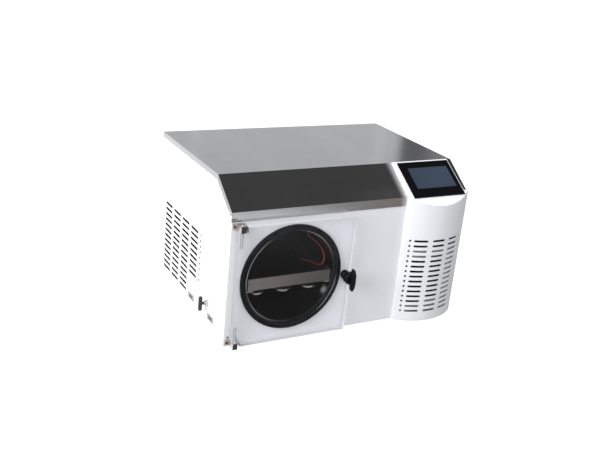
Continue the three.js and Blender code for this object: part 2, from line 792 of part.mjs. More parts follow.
// Runs to and fro across the chamber, joined by half-round bends at both ends.
function coilStations() {
  const bendRadius = coilPitch / 2;
  const frontY = coilFrontY + coilTubeRadius + bendRadius;
  const backY = coilBackY - coilTubeRadius - bendRadius;
  const stations = [new THREE.Vector3(coilLeftX, coilExitY, coilZ)];
  for (let run = 0; run < coilRuns - 1; run += 1) {
    const x = coilLeftX + (run + 0.5) * coilPitch;
    const atFront = run % 2 === 0;
    const y = atFront ? frontY : backY;
    const side = atFront ? -1 : 1;
    for (let step = 0; step <= 6; step += 1) {
      const angle = (Math.PI * step) / 6;
      stations.push(new THREE.Vector3(x - bendRadius * Math.cos(angle),
        y + side * bendRadius * Math.sin(angle), coilZ));
    }
  }
  stations.push(new THREE.Vector3(coilRightX, coilExitY, coilZ));
  return stations;
}

function buildCoil() {
  addPart('evaporator_coil', tube(coilStations(), coilTubeRadius), brightSteel);
  const top = coilZ - coilTubeRadius - gap;
  const half = barrelHalfWidth(top - coilBarThickness);
  for (const [name, y] of [['front', coilBarFrontY], ['rear', coilBarRearY]]) {
    addPart(`coil_bar_${name}`, block([chamberX - half, chamberX + half],
      [y - coilBarWidth / 2, y + coilBarWidth / 2], [top - coilBarThickness, top]), brightSteel);
  }
}

// The probe lead: out of its gland along the wall, forward and down, and back into the tray.
const probeRadius = 1.1;
const probePath = [
  [229.1, 85, 206.9], [226.9, 85, 205.4], [225, 83.2, 203.9], [225.2, 78.6, 202.8],
  [227.8, 72.2, 201.8], [231, 64.8, 199.9], [234.2, 56.6, 196.9], [237.2, 47.6, 192.4],
  [239.4, 38.8, 186.2], [240.6, 31.2, 178.4], [240.4, 26, 169.8], [238.6, 24.2, 161.6],
  [235.8, 27.2, 154.9], [233.4, 34, 150.6], [232, 43, 148.2], [231.4, 54, 146.4], [231.4, 66, 144.2],
  [232, 78, 141.2], [233, 90, 137.4], [234.2, 101, 133.4], [235.2, 110.4, 130.2],
  [235.8, 119, 128.4], [236, 127, 128],
].map((p) => new THREE.Vector3(...p));

function buildProbe() {
  const flangeSide = chamberRadius - gap;
  const gland = join(
    radialBar(glandAngle, glandY, glandRadius, chamberRadius - 3.2, barrelOuterRadius + 8),
    radialBar(glandAngle, glandY, glandRadius + 2.5, chamberRadius - 3.2, flangeSide - 0.4),
  );
  addPart('probe_gland', gland, blackPlastic);
  addPart('probe_wire', tube(probePath, probeRadius), probeRed);
  const end = probePath[probePath.length - 1];
  const run = end.clone().sub(probePath[probePath.length - 2]).setZ(0).normalize();
  const tipRadius = 1.5;
  const tip = turnedY([[0, 0], [tipRadius, 0], [tipRadius, 22], [tipRadius * 0.5, 24], [0, 24]], 10)
    .rotateZ(Math.atan2(-run.x, run.y))
    .translate(end.x + run.x * gap, end.y + run.y * gap, end.z);
  addPart('probe_tip', tip, brightSteel);
}

// Two cradles carry the barrel on the base pan.
function buildSaddles() {
  for (const [name, y] of [['front', 60], ['rear', 240]]) {
    const half = 70;
    const seat = barrelOuterRadius + gap;
    const plate = block([chamberX - half, chamberX + half], [y, y + 3],
      [floorTopZ + gap, chamberZ - seat * 0.75]);
    const foot = block([chamberX - half, chamberX + half], [y, y + 22],
      [floorTopZ + gap, floorTopZ + gap + 2]);
    const barrel = aboutChamber(roundBar(seat, y - 30, y + 60, smoothSides));
    addPart(`chamber_saddle_${name}`, cut(join(plate, foot), barrel), galvanised);
  }
}

// ---------------------------------------------------------------- vent valve on the left side

function buildVentValve() {
  const onAxis = (geometry) => shifted(geometry, 0, valveY, valveZ);
  const neck = 4.6;
  const body = turnedX([[0, 18], [neck, 18], [neck, panelSheet + gap + 5], [9, panelSheet + gap + 5],
    [9, panelSheet + gap], [neck, panelSheet + gap], [neck, -8], [0, -8]], 16);
  addPart('vent_valve_body', onAxis(body), brightSteel);
  const nut = cut(turnedX([[0, -6], [7.5, -6], [7.5, -gap], [0, -gap]], 6),
    turnedX([[0, -7], [neck + gap, -7], [neck + gap, 1], [0, 1]], 16));
  addPart('vent_valve_nut', onAxis(nut), brightSteel);
  const stem = turnedX([[0, -8 - gap], [3, -8 - gap], [3, -valveHandleReach], [0, -valveHandleReach]],
    smallSides);
  const half = valveHandleLength / 2;
  const r = valveHandleRadius;
  const bar = turnedZ([[0, -half], [r * 0.7, -half + 1], [r, -half + 3.5], [r, half - 3.5],
    [r * 0.7, half - 1], [0, half]], smallSides).translate(-valveHandleReach, 0, 0);
  addPart('vent_valve_handle', onAxis(join(stem, bar)), blackPlastic);

  const port = join(
    radialBar(ventPortAngle, ventPortY, ventPortRadius, chamberRadius - 2.5, barrelOuterRadius + 9),
    radialBar(ventPortAngle, ventPortY, ventPortRadius + 3, barrelOuterRadius + gap,
      barrelOuterRadius + 4, 6),
  );
  addPart('vent_port', port, brightSteel);
  const out = barrelOuterRadius + 9 + gap;
  const away = (distance) => [chamberX + Math.cos(ventPortAngle) * distance, ventPortY,
    chamberZ + Math.sin(ventPortAngle) * distance];
  const start = [18 + gap, valveY, valveZ];
  addPart('vent_pipe', pipe([start, [34, valveY, valveZ], [40, ventPortY + 24, 44],
    away(out + 16), away(out)], 3, 14), copper);
}

function buildLabels() {
  for (const [name, y] of [['rear', labelRearY], ['front', labelFrontY]]) {
    addPart(`label_${name}`, block([-gap - 0.5, -gap], [y - labelWidth / 2, y + labelWidth / 2],
      [labelMidZ - labelHeight / 2, labelMidZ + labelHeight / 2]), labelGrey);
  }
}

// ---------------------------------------------------------------- door, hinges and latch

const hingeFrontY = doorFrontY - 1.8;
const hingeReach = Math.hypot(hingeArmWidth / 2, pinY - hingeFrontY); // arm's corner from the pin
const notchRight = pinX + hingeReach + 1;

function buildDoor() {
  const upperNotchZ = hingeUpperZ - gap;
  const lowerNotchZ = hingeLowerTopZ + gap;
  const notch = latchStudRadius + 0.6;
  const notchSide = circle(latchX, latchZ, notch, 14, -Math.PI / 2, -Math.PI)
    .filter(([x]) => x < doorRight - 0.01);
  const outline = [
    [notchRight, doorBottom], [doorRight, doorBottom],
    [doorRight, latchZ - notch], ...notchSide, [doorRight, latchZ + notch],
    [doorRight, doorTop], [notchRight, doorTop], [notchRight, upperNotchZ], [doorLeft, upperNotchZ],
    [doorLeft, lowerNotchZ], [notchRight, lowerNotchZ],
  ];
  const bore = (from, to) => turnedZ([[0, from], [pinRadius + gap, from], [pinRadius + gap, to],
    [0, to]], 16).translate(pinX, pinY, 0);
  const plate = cut(prismY(outline, doorFrontY, doorBackY),
    bore(upperNotchZ - pinReach - gap, upperNotchZ + 5), bore(lowerNotchZ - 5, lowerNotchZ + pinReach + gap));
  addPart('door_plate', plate, clearAcrylic);
}

function buildHinge(name, armZ, pinFrom, pinTo) {
  const arm = block([pinX - hingeArmWidth / 2, pinX + hingeArmWidth / 2], [hingeFrontY, -gap], armZ);
  const [armLeft, armRight] = [pinX - hingeArmWidth / 2, pinX + hingeArmWidth / 2];
  const seat = -gap - hingeFlangeThickness;
  const flange = block([armLeft - hingeFlangeLeft, armRight + hingeFlangeRight], [seat, -gap], armZ);
  const screws = [armLeft - hingeFlangeLeft / 2, armRight + hingeFlangeRight / 2].map(
    (x) => shifted(roundBar(hingeScrewRadius, seat - hingeScrewHead, seat + 1, 10), x, 0,
      (armZ[0] + armZ[1]) / 2),
  );
  const bore = turnedZ([[0, armZ[0] - 5], [pinRadius + gap, armZ[0] - 5],
    [pinRadius + gap, armZ[1] + 5], [0, armZ[1] + 5]], 16).translate(pinX, pinY, 0);
  addPart(`hinge_bracket_${name}`, cut(join(arm, flange, ...screws), bore), brightSteel);
  const pin = turnedZ([[0, pinFrom], [pinRadius, pinFrom], [pinRadius, pinTo], [0, pinTo]], 16);
  addPart(`hinge_pin_${name}`, shifted(pin, pinX, pinY, 0), brightSteel);
}

function buildHinges() {
  buildHinge('upper', [hingeUpperZ, hingeUpperZ + hingeArmHeight],
    hingeUpperZ - pinReach, hingeUpperZ + hingeArmHeight);
  buildHinge('lower', [hingeLowerTopZ - hingeArmHeight, hingeLowerTopZ],
    hingeLowerTopZ - hingeArmHeight, hingeLowerTopZ + pinReach);
}

function buildLatch() {
  const onAxis = (geometry) => shifted(geometry, latchX, 0, latchZ);
  const hubBack = doorFrontY - gap;
  const hubFront = hubBack - latchHubLength;
  const hub = turnedY([[0, hubBack], [latchHubRadius, hubBack], [latchHubRadius, hubFront + 2.5],
    [latchHubRadius - 2.5, hubFront], [0, hubFront]], 24);
  const half = wingSpan / 2;
  const [waist, end, tip] = [wingWidth / 2, wingWidth / 2 - 1.5, wingWidth / 2 - 4];
  const wing = prismY([[-end, 2 - half], [-tip, -half], [tip, -half], [end, 2 - half], [waist, 2],
    [end, half - 2], [tip, half], [-tip, half], [-end, half - 2], [-waist, 2]],
  hubFront - wingDepth, hubFront + 2);
  const studHole = roundBar(latchStudRadius + gap, hubFront + 3, hubBack + 5, smallSides);
  addPart('latch_knob', onAxis(cut(join(hub, wing), studHole)), blackPlastic);
  addPart('latch_stud', onAxis(roundBar(latchStudRadius, hubFront + 3 + gap, studTip, smallSides)),
    brightSteel);
  const collarBack = doorBackY + gap;
  const collar = ring(latchStudRadius + gap, latchCollarRadius, collarBack,
    collarBack + latchCollarThickness, 18);
  addPart('latch_collar', onAxis(collar), brightSteel);
  const [bore, neck] = [latchBoreRadius, latchNeckRadius];
  const outer = bore + latchBushWall;
  const bush = turnedY([[bore, -latchBushProud], [outer - 1, -latchBushProud],
    [outer, 1 - latchBushProud], [outer, -gap], [neck, -gap], [neck, latchNeckReach],
    [bore, latchNeckReach], [bore, -latchBushProud]], 24);
  addPart('latch_bush', onAxis(bush), brightSteel);
}

// ---------------------------------------------------------------- refrigeration

const compressor = {
  x: 430, y: 285, radius: 68, low: 24, high: 205,
  cradle: {
    halfWidth: 75, halfDepth: 58, low: 14, sheet: 3, flange: 6, flangeRise: 12, postRadius: 9, seatHalf: 30,
  },
};
const condenser = { x: [towerLeft + 22, towerRight - 22], y: [22, 48], z: [22, 178] };
const condenserFins = 16;
const condenserWeb = 4; // joins the fins at the back
const frameSheet = 1.2;
const frameMargin = 6; // the frame's reach beyond the core
const frameLap = 4; // the frame's lap over the core's sides
const frameWindowDrop = 22;
const fan = {
  x: (condenser.x[0] + condenser.x[1]) / 2, z: 100, radius: 60, blades: 5, bladeSheet: 1.6,
  bladeChord: 30, bladePitch: 28, hubRadius: 18, hubLength: 20, clearance: 10, shaftRadius: 4,
  motorRadius: 22, motorLength: 26, postHalf: 12,
};
const drier = { x: 300, y: 330, radius: 12, low: 60, high: 150 };
const pipeRadius = 3.5;
const dischargeZ = 120; // heights at which the pipes leave and enter
const condenserInZ = 66;
const condenserOutZ = 40;
const liquidZ = 30;
const suctionZ = 110;
const suctionLowZ = 50;
const suctionBackY = 352;

function buildCompressor() {
  const { x, y, radius, low, high, cradle: size } = compressor;
  const shell = turnedZ([[0, low], [radius * 0.7, low + 3], [radius * 0.94, low + 14],
    [radius, low + 30], [radius, high - 45], [radius * 0.92, high - 20], [radius * 0.6, high - 4],
    [0, high]], 28);
  const wide = [-size.halfWidth, size.halfWidth];
  const deep = [-size.halfDepth, size.halfDepth];
  const room = [size.flange - size.halfDepth, size.halfDepth - size.flange];
  const solePlate = [size.low, size.low + size.sheet];
  const flanges = cut(block(wide, deep, [size.low, low + size.flangeRise]),
    block([wide[0] - 1, wide[1] + 1], room, [solePlate[1], high]));
  const cradle = join(flanges, block(wide, deep, solePlate));
  const postX = size.halfWidth - size.postRadius;
  const postY = size.halfDepth - size.postRadius + 1;
  const post = [[0, floorTopZ + gap], [size.postRadius, floorTopZ + gap],
    [size.postRadius, size.low + 1], [0, size.low + 1]];
  const posts = [[-1, -1], [1, -1], [1, 1], [-1, 1]].map(([sideX, sideY]) => shifted(
    turnedZ(post, smallSides), sideX * postX, sideY * postY, 0,
  ));
  const half = size.seatHalf;
  const seat = block([-half, half], [-half, half], [solePlate[1] - 1, low + 8]);
  addPart('compressor', shifted(join(shell, cradle, seat, ...posts), x, y, 0), blackEnamel);
}

function buildCondenser() {
  const { x, y, z } = condenser;
  const pitch = (x[1] - x[0]) / condenserFins;
  const fin = pitch * 0.45;
  const root = y[1] - condenserWeb;
  const comb = [[x[0], y[1]]];
  for (let i = 0; i < condenserFins; i += 1) {
    const left = x[0] + i * pitch;
    comb.push([left, y[0]], [left + fin, y[0]]);
    if (i < condenserFins - 1) comb.push([left + fin, root], [left + pitch, root]);
  }
  comb.push([x[1] - pitch + fin, y[1]]);
  addPart('condenser_core', prismZ(comb, ...z), finAluminium);

  const face = y[0] - gap;
  const wide = [x[0] - frameMargin, x[1] + frameMargin];
  const outer = rectangle(wide, [floorTopZ + gap, z[1] + frameMargin]);
  const inner = rectangle([x[0] + frameLap, x[1] - frameLap], [z[0] + frameWindowDrop, z[1] - 28]);
  const front = prismY(outer, face - frameSheet, face, [inner]);
  const sill = block(wide, [face - 1, y[1] + 8], [floorTopZ + gap, z[0] - gap]);
  addPart('condenser_frame', join(front, sill), galvanised);
}

function buildFan() {
  const front = condenser.y[1] + fan.clearance;
  const back = front + fan.hubLength;
  const hubProfile = [[0, front], [fan.hubRadius - 2, front], [fan.hubRadius, front + 2],
    [fan.hubRadius, back], [0, back]];
  const bladeRoot = fan.hubRadius - 4;
  const pieces = [turnedY(hubProfile, 20)];
  for (let i = 0; i < fan.blades; i += 1) {
    const blade = new THREE.BoxGeometry(fan.radius - bladeRoot, fan.bladeSheet, fan.bladeChord)
      .rotateX(THREE.MathUtils.degToRad(fan.bladePitch))
      .translate((fan.radius + bladeRoot) / 2, (front + back) / 2, 0)
      .rotateY((2 * Math.PI * i) / fan.blades);
    pieces.push(blade);
  }
  const shaftFront = front + 9;
  const rotor = cut(join(...pieces),
    roundBar(fan.shaftRadius + gap, shaftFront - 1, back + 10, smallSides));
  addPart('fan_rotor', shifted(rotor, fan.x, 0, fan.z), blackPlastic);
  const motorFront = back + 2;
  const motorBack = motorFront + fan.motorLength;
  const motor = turnedY([[0, shaftFront], [fan.shaftRadius, shaftFront], [fan.shaftRadius, motorFront],
    [fan.motorRadius, motorFront], [fan.motorRadius, motorBack], [0, motorBack]], 20)
    .translate(fan.x, 0, fan.z);
  const postX = [fan.x - fan.postHalf, fan.x + fan.postHalf];
  const postBack = motorBack - 1;
  const post = block(postX, [postBack - 3, postBack], [floorTopZ + gap, fan.z]);
  const foot = block(postX, [postBack - 17, postBack], [floorTopZ + gap, floorTopZ + 3]);
  addPart('fan_motor', join(motor, post, foot), galvanised);
}

function buildPipes() {
  const r = pipeRadius;
  const c = compressor;
  const shellFront = c.y - c.radius * 0.98;
  const right = condenser.x[1] - 8; // clear of the fan's blades
  const left = condenser.x[0] + 12;
  const seat = condenser.y[1] + gap;
  addPart('filter_drier', shifted(turnedZ([[0, drier.low], [4, drier.low], [drier.radius, drier.low + 10],
    [drier.radius, drier.high - 10], [4, drier.high], [0, drier.high]], 16), drier.x, drier.y, 0), copper);
  const dischargeX = c.x + 30;
  addPart('discharge_line', pipe([[dischargeX, shellFront + 2.4, dischargeZ],
    [dischargeX, shellFront - 24, dischargeZ], [right, 150, condenserInZ], [right, seat, condenserInZ]],
  r, 16), copper);
  addPart('liquid_line', pipe([[left, seat, condenserOutZ], [left, seat + r + 34, condenserOutZ],
    [drier.x + 40, 160, liquidZ], [drier.x, 250, liquidZ], [drier.x, drier.y, liquidZ],
    [drier.x, drier.y, drier.low - gap]], r, 16), copper);
  const loopZ = drier.high + 25;
  addPart('expansion_line', pipe([[drier.x, drier.y, drier.high + gap], [drier.x, drier.y, loopZ],
    [coilRightX, drier.y, loopZ], [coilRightX, drier.y, coilZ], [coilRightX, coilExitY + gap, coilZ]],
  r, 16), copper);
  const suctionX = c.x - 100;
  addPart('suction_line', pipe([[coilLeftX, coilExitY + gap, coilZ], [coilLeftX, suctionBackY, coilZ],
    [coilLeftX, suctionBackY, suctionLowZ], [suctionX, suctionBackY, suctionLowZ],
    [suctionX, c.y, suctionZ], [c.x - c.radius - gap, c.y, suctionZ]], r + 1, 16), copper);
}

// ---------------------------------------------------------------- rear services

function buildPumpPort() {
  const bore = portRadius - portWall;
  const flangeRadius = portFlangeRadius;
  const outY = bodyDepth + portProud;
  const profile = [
    [bore, chamberDepth - 2], [portRadius, chamberDepth - 2], [portRadius, outY - 8],
    [flangeRadius, outY - 3], [flangeRadius, outY], [bore, outY], [bore, chamberDepth - 2],
  ];
  addPart('pump_port', shifted(turnedY(profile, 24), portX, 0, portZ), brightSteel);
}

const supplyMargin = 15;
const supplyWidth = 70;
const supplyLength = 90;
const supplyRearRoom = 25;
const supplyTopZ = 62;

function buildInlet() {
  const outside = bodyDepth + gap;
  const about = (middle, half) => [middle - half, middle + half];
  const [halfWidth, halfHeight] = [inletWidth / 2, inletHeight / 2];
  const plate = block(about(inletX, halfWidth + inletRim), [outside, outside + inletPlate],
    about(inletZ, halfHeight + inletRim));
  const body = block(about(inletX, halfWidth - gap), [bodyDepth - inletReach, outside + 1],
    about(inletZ, halfHeight - gap));
  const socketX = inletX - 13;
  const socket = block(about(socketX, socketWidth / 2), [bodyDepth - socketDepth, outside + 5],
    about(inletZ, socketHeight / 2));
  const pins = [[-7, -3], [0, 3], [7, -3]].map(([dx, dz]) => block(
    about(socketX + dx, 1), [bodyDepth - socketDepth - 4, bodyDepth - 4], about(inletZ + dz, 3),
  ));
  const switchX = inletX + 18;
  const well = block(about(switchX, rockerWidth / 2 + gap), [bodyDepth - 14, outside + 5],
    about(inletZ, 13));
  addPart('power_inlet', join(cut(join(plate, body), socket, well), ...pins), blackPlastic);

  const rocker = prismX([[-5, -9], [3.4, -10], [2.2, 0], [3.4, 10], [-5, 9], [-6, 0]],
    -rockerWidth / 2, rockerWidth / 2);
  const mesh = addPart('power_rocker', rocker, blackPlastic);
  mesh.rotation.x = THREE.MathUtils.degToRad(rockerRest);
  mesh.position.set(switchX, bodyDepth, inletZ);

  const supply = block([bodyWidth - supplyMargin - supplyWidth, bodyWidth - supplyMargin],
    [bodyDepth - supplyRearRoom - supplyLength, bodyDepth - supplyRearRoom],
    [floorTopZ + gap, supplyTopZ]);
  addPart('power_supply', supply, galvanised);
}

buildSidePanels();
buildFrontPanel();
buildRearPanel();
buildBasePan();
buildFeet();
buildTopCover();
buildTowerFront();
buildTowerFloor();
buildTowerTop();
buildScreen();
buildBarrel();
buildGasket();
buildTray();
buildCoil();
buildProbe();
buildSaddles();
buildVentValve();
buildLabels();
buildDoor();
buildHinges();
buildLatch();
buildCompressor();
buildCondenser();
buildFan();
buildPipes();
buildPumpPort();
buildInlet();

// The finished model stands on z = 0, centred on its own box.
const extent = new THREE.Box3().setFromObject(model);
const middle = extent.getCenter(new THREE.Vector3());
model.position.set(-middle.x, -middle.y, -extent.min.z);

export default model;
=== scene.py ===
"""Looks of a benchtop freeze dryer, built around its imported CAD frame.

Every class after the studio is one sub-assembly: it holds its sizes, makes its fine meshes and
dresses them. Lengths in those classes are in millimetres from the casing's lower front left corner,
X to the right, Y to the back and Z up; `at` turns them into metres in the frame. The finishes'
places and the studio's are in metres in the frame.
"""

import json
import logging
import math
from dataclasses import dataclass, replace
from enum import Enum
from typing import Callable, Iterable, Sequence, Union

import bmesh
import bpy
from mathutils import Matrix, Vector


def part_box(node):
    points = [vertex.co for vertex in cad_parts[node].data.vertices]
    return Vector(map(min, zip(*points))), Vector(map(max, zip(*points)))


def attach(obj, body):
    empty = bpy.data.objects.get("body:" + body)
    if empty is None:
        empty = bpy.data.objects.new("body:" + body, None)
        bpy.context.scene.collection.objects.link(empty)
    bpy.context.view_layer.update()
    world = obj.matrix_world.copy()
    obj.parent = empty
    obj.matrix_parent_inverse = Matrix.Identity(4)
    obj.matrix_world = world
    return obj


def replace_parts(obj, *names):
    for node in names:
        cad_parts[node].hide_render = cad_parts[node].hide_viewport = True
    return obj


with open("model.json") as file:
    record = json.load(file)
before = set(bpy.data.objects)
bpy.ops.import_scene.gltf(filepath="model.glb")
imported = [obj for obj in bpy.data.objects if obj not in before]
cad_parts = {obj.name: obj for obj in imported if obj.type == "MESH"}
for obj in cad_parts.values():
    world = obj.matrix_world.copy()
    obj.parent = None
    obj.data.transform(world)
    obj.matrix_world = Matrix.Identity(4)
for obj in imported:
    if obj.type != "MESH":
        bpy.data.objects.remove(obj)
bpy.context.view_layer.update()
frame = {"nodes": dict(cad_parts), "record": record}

log = logging.getLogger("freeze_dryer")

MM = 0.001
Colour = tuple[float, float, float]
Pair = tuple[float, float]
Span = tuple[Pair, Pair]  # a mask's two edges, each from where it is 0 to where it is 1
Point = Sequence[float]
Key = Union[int, str]  # a socket's number, or its identifier or name

SIDE, FRONT = (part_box(panel)[0] for panel in ("left_side_panel", "front_panel"))
CORNER = Vector((SIDE.x, FRONT.y, SIDE.z))


def at(x: float, y: float, z: float) -> Vector:
    """Turns casing millimetres into a point of the frame, in metres."""
    return CORNER + Vector((x, y, z)) * MM


def body_of_node(node: str) -> str:
    """Finds the name of the CAD body that a node belongs to."""
    bodies = frame["record"]["behaviour"]["bodies"]
    return next(name for name, members in bodies.items() if node in members)


class Slot(Enum):
    """The finishes that the record names."""

    WHITE_PAINT = "white_paint"
    SATIN_STEEL = "satin_steel"
    BRIGHT_STEEL = "bright_steel"
    TRAY_STEEL = "tray_steel"
    CLEAR_ACRYLIC = "clear_acrylic"
    BLACK_RUBBER = "black_rubber"
    BLACK_PLASTIC = "black_plastic"
    GALVANISED = "galvanised_steel"
    COPPER = "copper_tube"
    BLACK_ENAMEL = "black_enamel"
    FIN_ALUMINIUM = "fin_aluminium"
    CIRCUIT_BOARD = "circuit_board"
    SCREEN = "screen"
    LABEL_PLATE = "label_plate"
    PROBE_RED = "probe_red"


class Axis(Enum):
    """The frame's axes, by their place in a vector."""

    X = 0
    Y = 1
    Z = 2


# ------------------------------------------------------------------------------- shader expressions


@dataclass(frozen=True)
class Socket:
    """An output socket that can be used in arithmetic; each operator adds a Math node."""

    graph: "Graph"
    source: bpy.types.NodeSocket

    def _maths(self, operation: str, first: "Value", second: "Value") -> "Socket":
        """Adds one Math node on two values."""
        return self.graph.node("ShaderNodeMath", {"operation": operation}, {0: first, 1: second})

    def __add__(self, other: "Value") -> "Socket":
        """Adds a value or a socket."""
        return self._maths("ADD", self, other)

    def __radd__(self, other: "Value") -> "Socket":
        """Adds to a plain value."""
        return self._maths("ADD", other, self)

    def __sub__(self, other: "Value") -> "Socket":
        """Subtracts a value or a socket."""
        return self._maths("SUBTRACT", self, other)

    def __rsub__(self, other: "Value") -> "Socket":
        """Subtracts from a plain value."""
        return self._maths("SUBTRACT", other, self)

    def __mul__(self, other: "Value") -> "Socket":
        """Multiplies by a value or a socket."""
        return self._maths("MULTIPLY", self, other)

    def __rmul__(self, other: "Value") -> "Socket":
        """Multiplies a plain value."""
        return self._maths("MULTIPLY", other, self)

    def __pow__(self, power: "Value") -> "Socket":
        """Raises to a power."""
        return self._maths("POWER", self, power)

    def at_least(self, other: "Value") -> "Socket":
        """The larger of two values."""
        return self._maths("MAXIMUM", self, other)

    def swing(self, amount: float) -> "Socket":
        """A noise as a change about nothing, by half the amount either way."""
        return (self - 0.5) * amount

    def rising(self, low: float, high: float) -> "Socket":
        """A smooth mask.

        Args:
            low: The value at which the mask is 0.
            high: The value at which it is 1, which may be the smaller of the two.

        Returns:
            The mask's socket.
        """
        if low > high:
            return 1 - self.rising(high, low)
        settings = {"interpolation_type": "SMOOTHSTEP"}
        return self.graph.node(
            "ShaderNodeMapRange", settings, {"Value": self, "From Min": low, "From Max": high}
        )

    def between(self, span: Span) -> "Socket":
        """A mask with two soft edges, each a pair for `rising`."""
        return self.rising(*span[0]) * self.rising(*span[1])


Value = Union[Socket, float, int, Sequence[float]]


class Graph:
    """A node tree that is built by expressions."""

    def __init__(self, tree: bpy.types.NodeTree) -> None:
        """Empties the material's or world's node tree and keeps it."""
        self.tree = tree
        self.tree.nodes.clear()

    @staticmethod
    def _find(sockets: Iterable[bpy.types.NodeSocket], key: Key) -> bpy.types.NodeSocket:
        """Finds a socket.

        Args:
            sockets: A node's inputs or outputs.
            key: The socket's number, identifier or name.

        Returns:
            The socket.
        """
        listed = list(sockets)
        if isinstance(key, int):
            return listed[key]
        by_identifier = [s for s in listed if s.identifier == key]
        return (by_identifier or [s for s in listed if s.name == key and s.enabled])[0]

    def node(
        self,
        kind: str,
        settings: dict[str, object] | None = None,
        inputs: dict[Key, Value] | None = None,
        out: Key = 0,
    ) -> Socket | None:
        """Adds a node.

        Args:
            kind: The node's type name.
            settings: Its settings, which are set first.
            inputs: Plain values or sockets for its inputs.
            out: The output that is wanted.

        Returns:
            That output, or None from a node that has no outputs.
        """
        made = self.tree.nodes.new(kind)
        for name, setting in (settings or {}).items():
            setattr(made, name, setting)
        for key, value in (inputs or {}).items():
            target = self._find(made.inputs, key)
            if isinstance(value, Socket):
                self.tree.links.new(value.source, target)
            else:
                target.default_value = value
        return Socket(self, self._find(made.outputs, out)) if len(made.outputs) else None

    def place(self) -> Socket:
        """The shaded point in metres, in the frame at rest."""
        return self.node("ShaderNodeTexCoord", out="Object")

    def along(self, axis: Axis, vector: Socket | None = None) -> Socket:
        """One coordinate of a vector, or of the shaded point in metres."""
        inputs = {0: vector or self.place()}
        return self.node("ShaderNodeSeparateXYZ", inputs=inputs, out=axis.value)

    def scaled(self, vector: Socket, scale: Value) -> Socket:
        """A vector or colour multiplied part by part."""
        settings = {"operation": "MULTIPLY"}
        return self.node("ShaderNodeVectorMath", settings, {0: vector, 1: scale})

    def noise(self, scale: float | Point, detail: float = 3.0) -> Socket:
        """Smooth noise from about 0.3 to 0.7.

        Args:
            scale: Features to a metre, or one such number for each axis for a drawn-out grain.
            detail: Octaves.

        Returns:
            The noise's value.
        """
        vector, size = self.place(), scale
        if not isinstance(scale, float):
            vector, size = self.scaled(vector, tuple(scale)), 1.0
        inputs = {"Vector": vector, "Scale": size, "Detail": detail}
        return self.node("ShaderNodeTexNoise", inputs=inputs)

    def mixed(self, share: Value, first: Value, second: Value) -> Socket:
        """Blends two colours.

        Args:
            share: How much of the second shows.
            first: The colour at a share of 0.
            second: The colour at a share of 1.

        Returns:
            The blended colour.
        """
        pair = [(*c, 1.0) if isinstance(c, tuple) and len(c) == 3 else c for c in (first, second)]
        inputs = {"Factor_Float": share, "A_Color": pair[0], "B_Color": pair[1]}
        return self.node("ShaderNodeMix", {"data_type": "RGBA"}, inputs, "Result_Color")

    def tinted(self, colour: Value, share: Value) -> Socket:
        """A colour made lighter or darker by a changing share about 1."""
        vector = self.node("ShaderNodeCombineXYZ", inputs={0: share, 1: share, 2: share})
        return self.scaled(vector, colour)

    def bump(self, height: Socket, depth: float, strength: float = 1.0) -> Socket:
        """A normal bent by a height from 0 to 1, whose full depth is in metres."""
        inputs = {"Height": height, "Distance": depth, "Strength": strength}
        return self.node("ShaderNodeBump", inputs=inputs)

    def principled(self, **inputs: Value) -> Socket:
        """Adds the surface shader.

        Args:
            inputs: Its inputs, with underscores for the spaces in their names.

        Returns:
            The shader.
        """
        named = {name.replace("_", " "): value for name, value in inputs.items()}
        for name, value in named.items():
            if name.endswith("Color") and isinstance(value, tuple):
                named[name] = (*value, 1.0)
        return self.node("ShaderNodeBsdfPrincipled", inputs=named)

    def clear_to_lamps(self, surface: Socket, colour: Colour) -> Socket:
        """Lets lamps shine through a surface onto what is behind.

        Args:
            surface: The surface's own shader.
            colour: The tint of the light that passes.

        Returns:
            The two shaders, mixed by the kind of ray.
        """
        clear = self.node("ShaderNodeBsdfTransparent", inputs={"Color": (*colour, 1.0)})
        shadow = self.node("ShaderNodeLightPath", out="Is Shadow Ray")
        return self.node("ShaderNodeMixShader", inputs={0: shadow, 1: surface, 2: clear})

    def output(self, surface: Socket) -> None:
        """Connects the surface to the material's output."""
        self.node("ShaderNodeOutputMaterial", inputs={"Surface": surface})


# ----------------------------------------------------------------------------------------- finishes


@dataclass(frozen=True)
class Finish:
    """A named finish; each kind says how its surface is shaded."""

    slot: Slot
    name: str = ""

    def shade(self, graph: Graph) -> Socket:
        """Builds the surface shader."""
        raise NotImplementedError

    def material(self) -> bpy.types.Material:
        """Makes the material once and hands it out again after that."""
        title = f"{self.slot.value}_{self.name or type(self).__name__.lower()}"
        found = bpy.data.materials.get(title)
        if found:
            return found
        made = bpy.data.materials.new(title)
        made.use_nodes = True
        graph = Graph(made.node_tree)
        graph.output(self.shade(graph))
        return made


@dataclass(frozen=True)
class Mottled(Finish):
    """A finish whose colour and gloss follow one noise."""

    colour: Colour = (0.5, 0.5, 0.5)
    grain: float | Point = 35.0  # features to a metre
    detail: float = 3.0
    tint: Pair = (0.8, 0.4)  # the colour's share where the noise is 0, and what a noise of 1 adds
    rough: Pair = (0.6, 0.2)  # the roughness, in the same way
    metal: float = 0.0
    relief: Pair = (0.0, 0.0)  # the bump's depth and strength
    softness: float = 0.0  # how much light passes under the skin

    def shade(self, graph: Graph) -> Socket:
        """Shades the mottled colour and gloss, and the relief where there is one."""
        noise = graph.noise(self.grain, self.detail)
        bump = {"Normal": graph.bump(noise, *self.relief)} if self.relief[0] else {}
        return graph.principled(
            Base_Color=graph.tinted(self.colour, self.tint[0] + noise * self.tint[1]),
            Roughness=self.rough[0] + noise * self.rough[1],
            Metallic=self.metal,
            Subsurface_Weight=self.softness,
            **bump,
        )


# Painted shade: dull near black on the painted panels' unseen side and on the sides of their slots.
INNER_SHADE = Mottled(Slot.WHITE_PAINT, "innershade", (0.03, 0.03, 0.032))

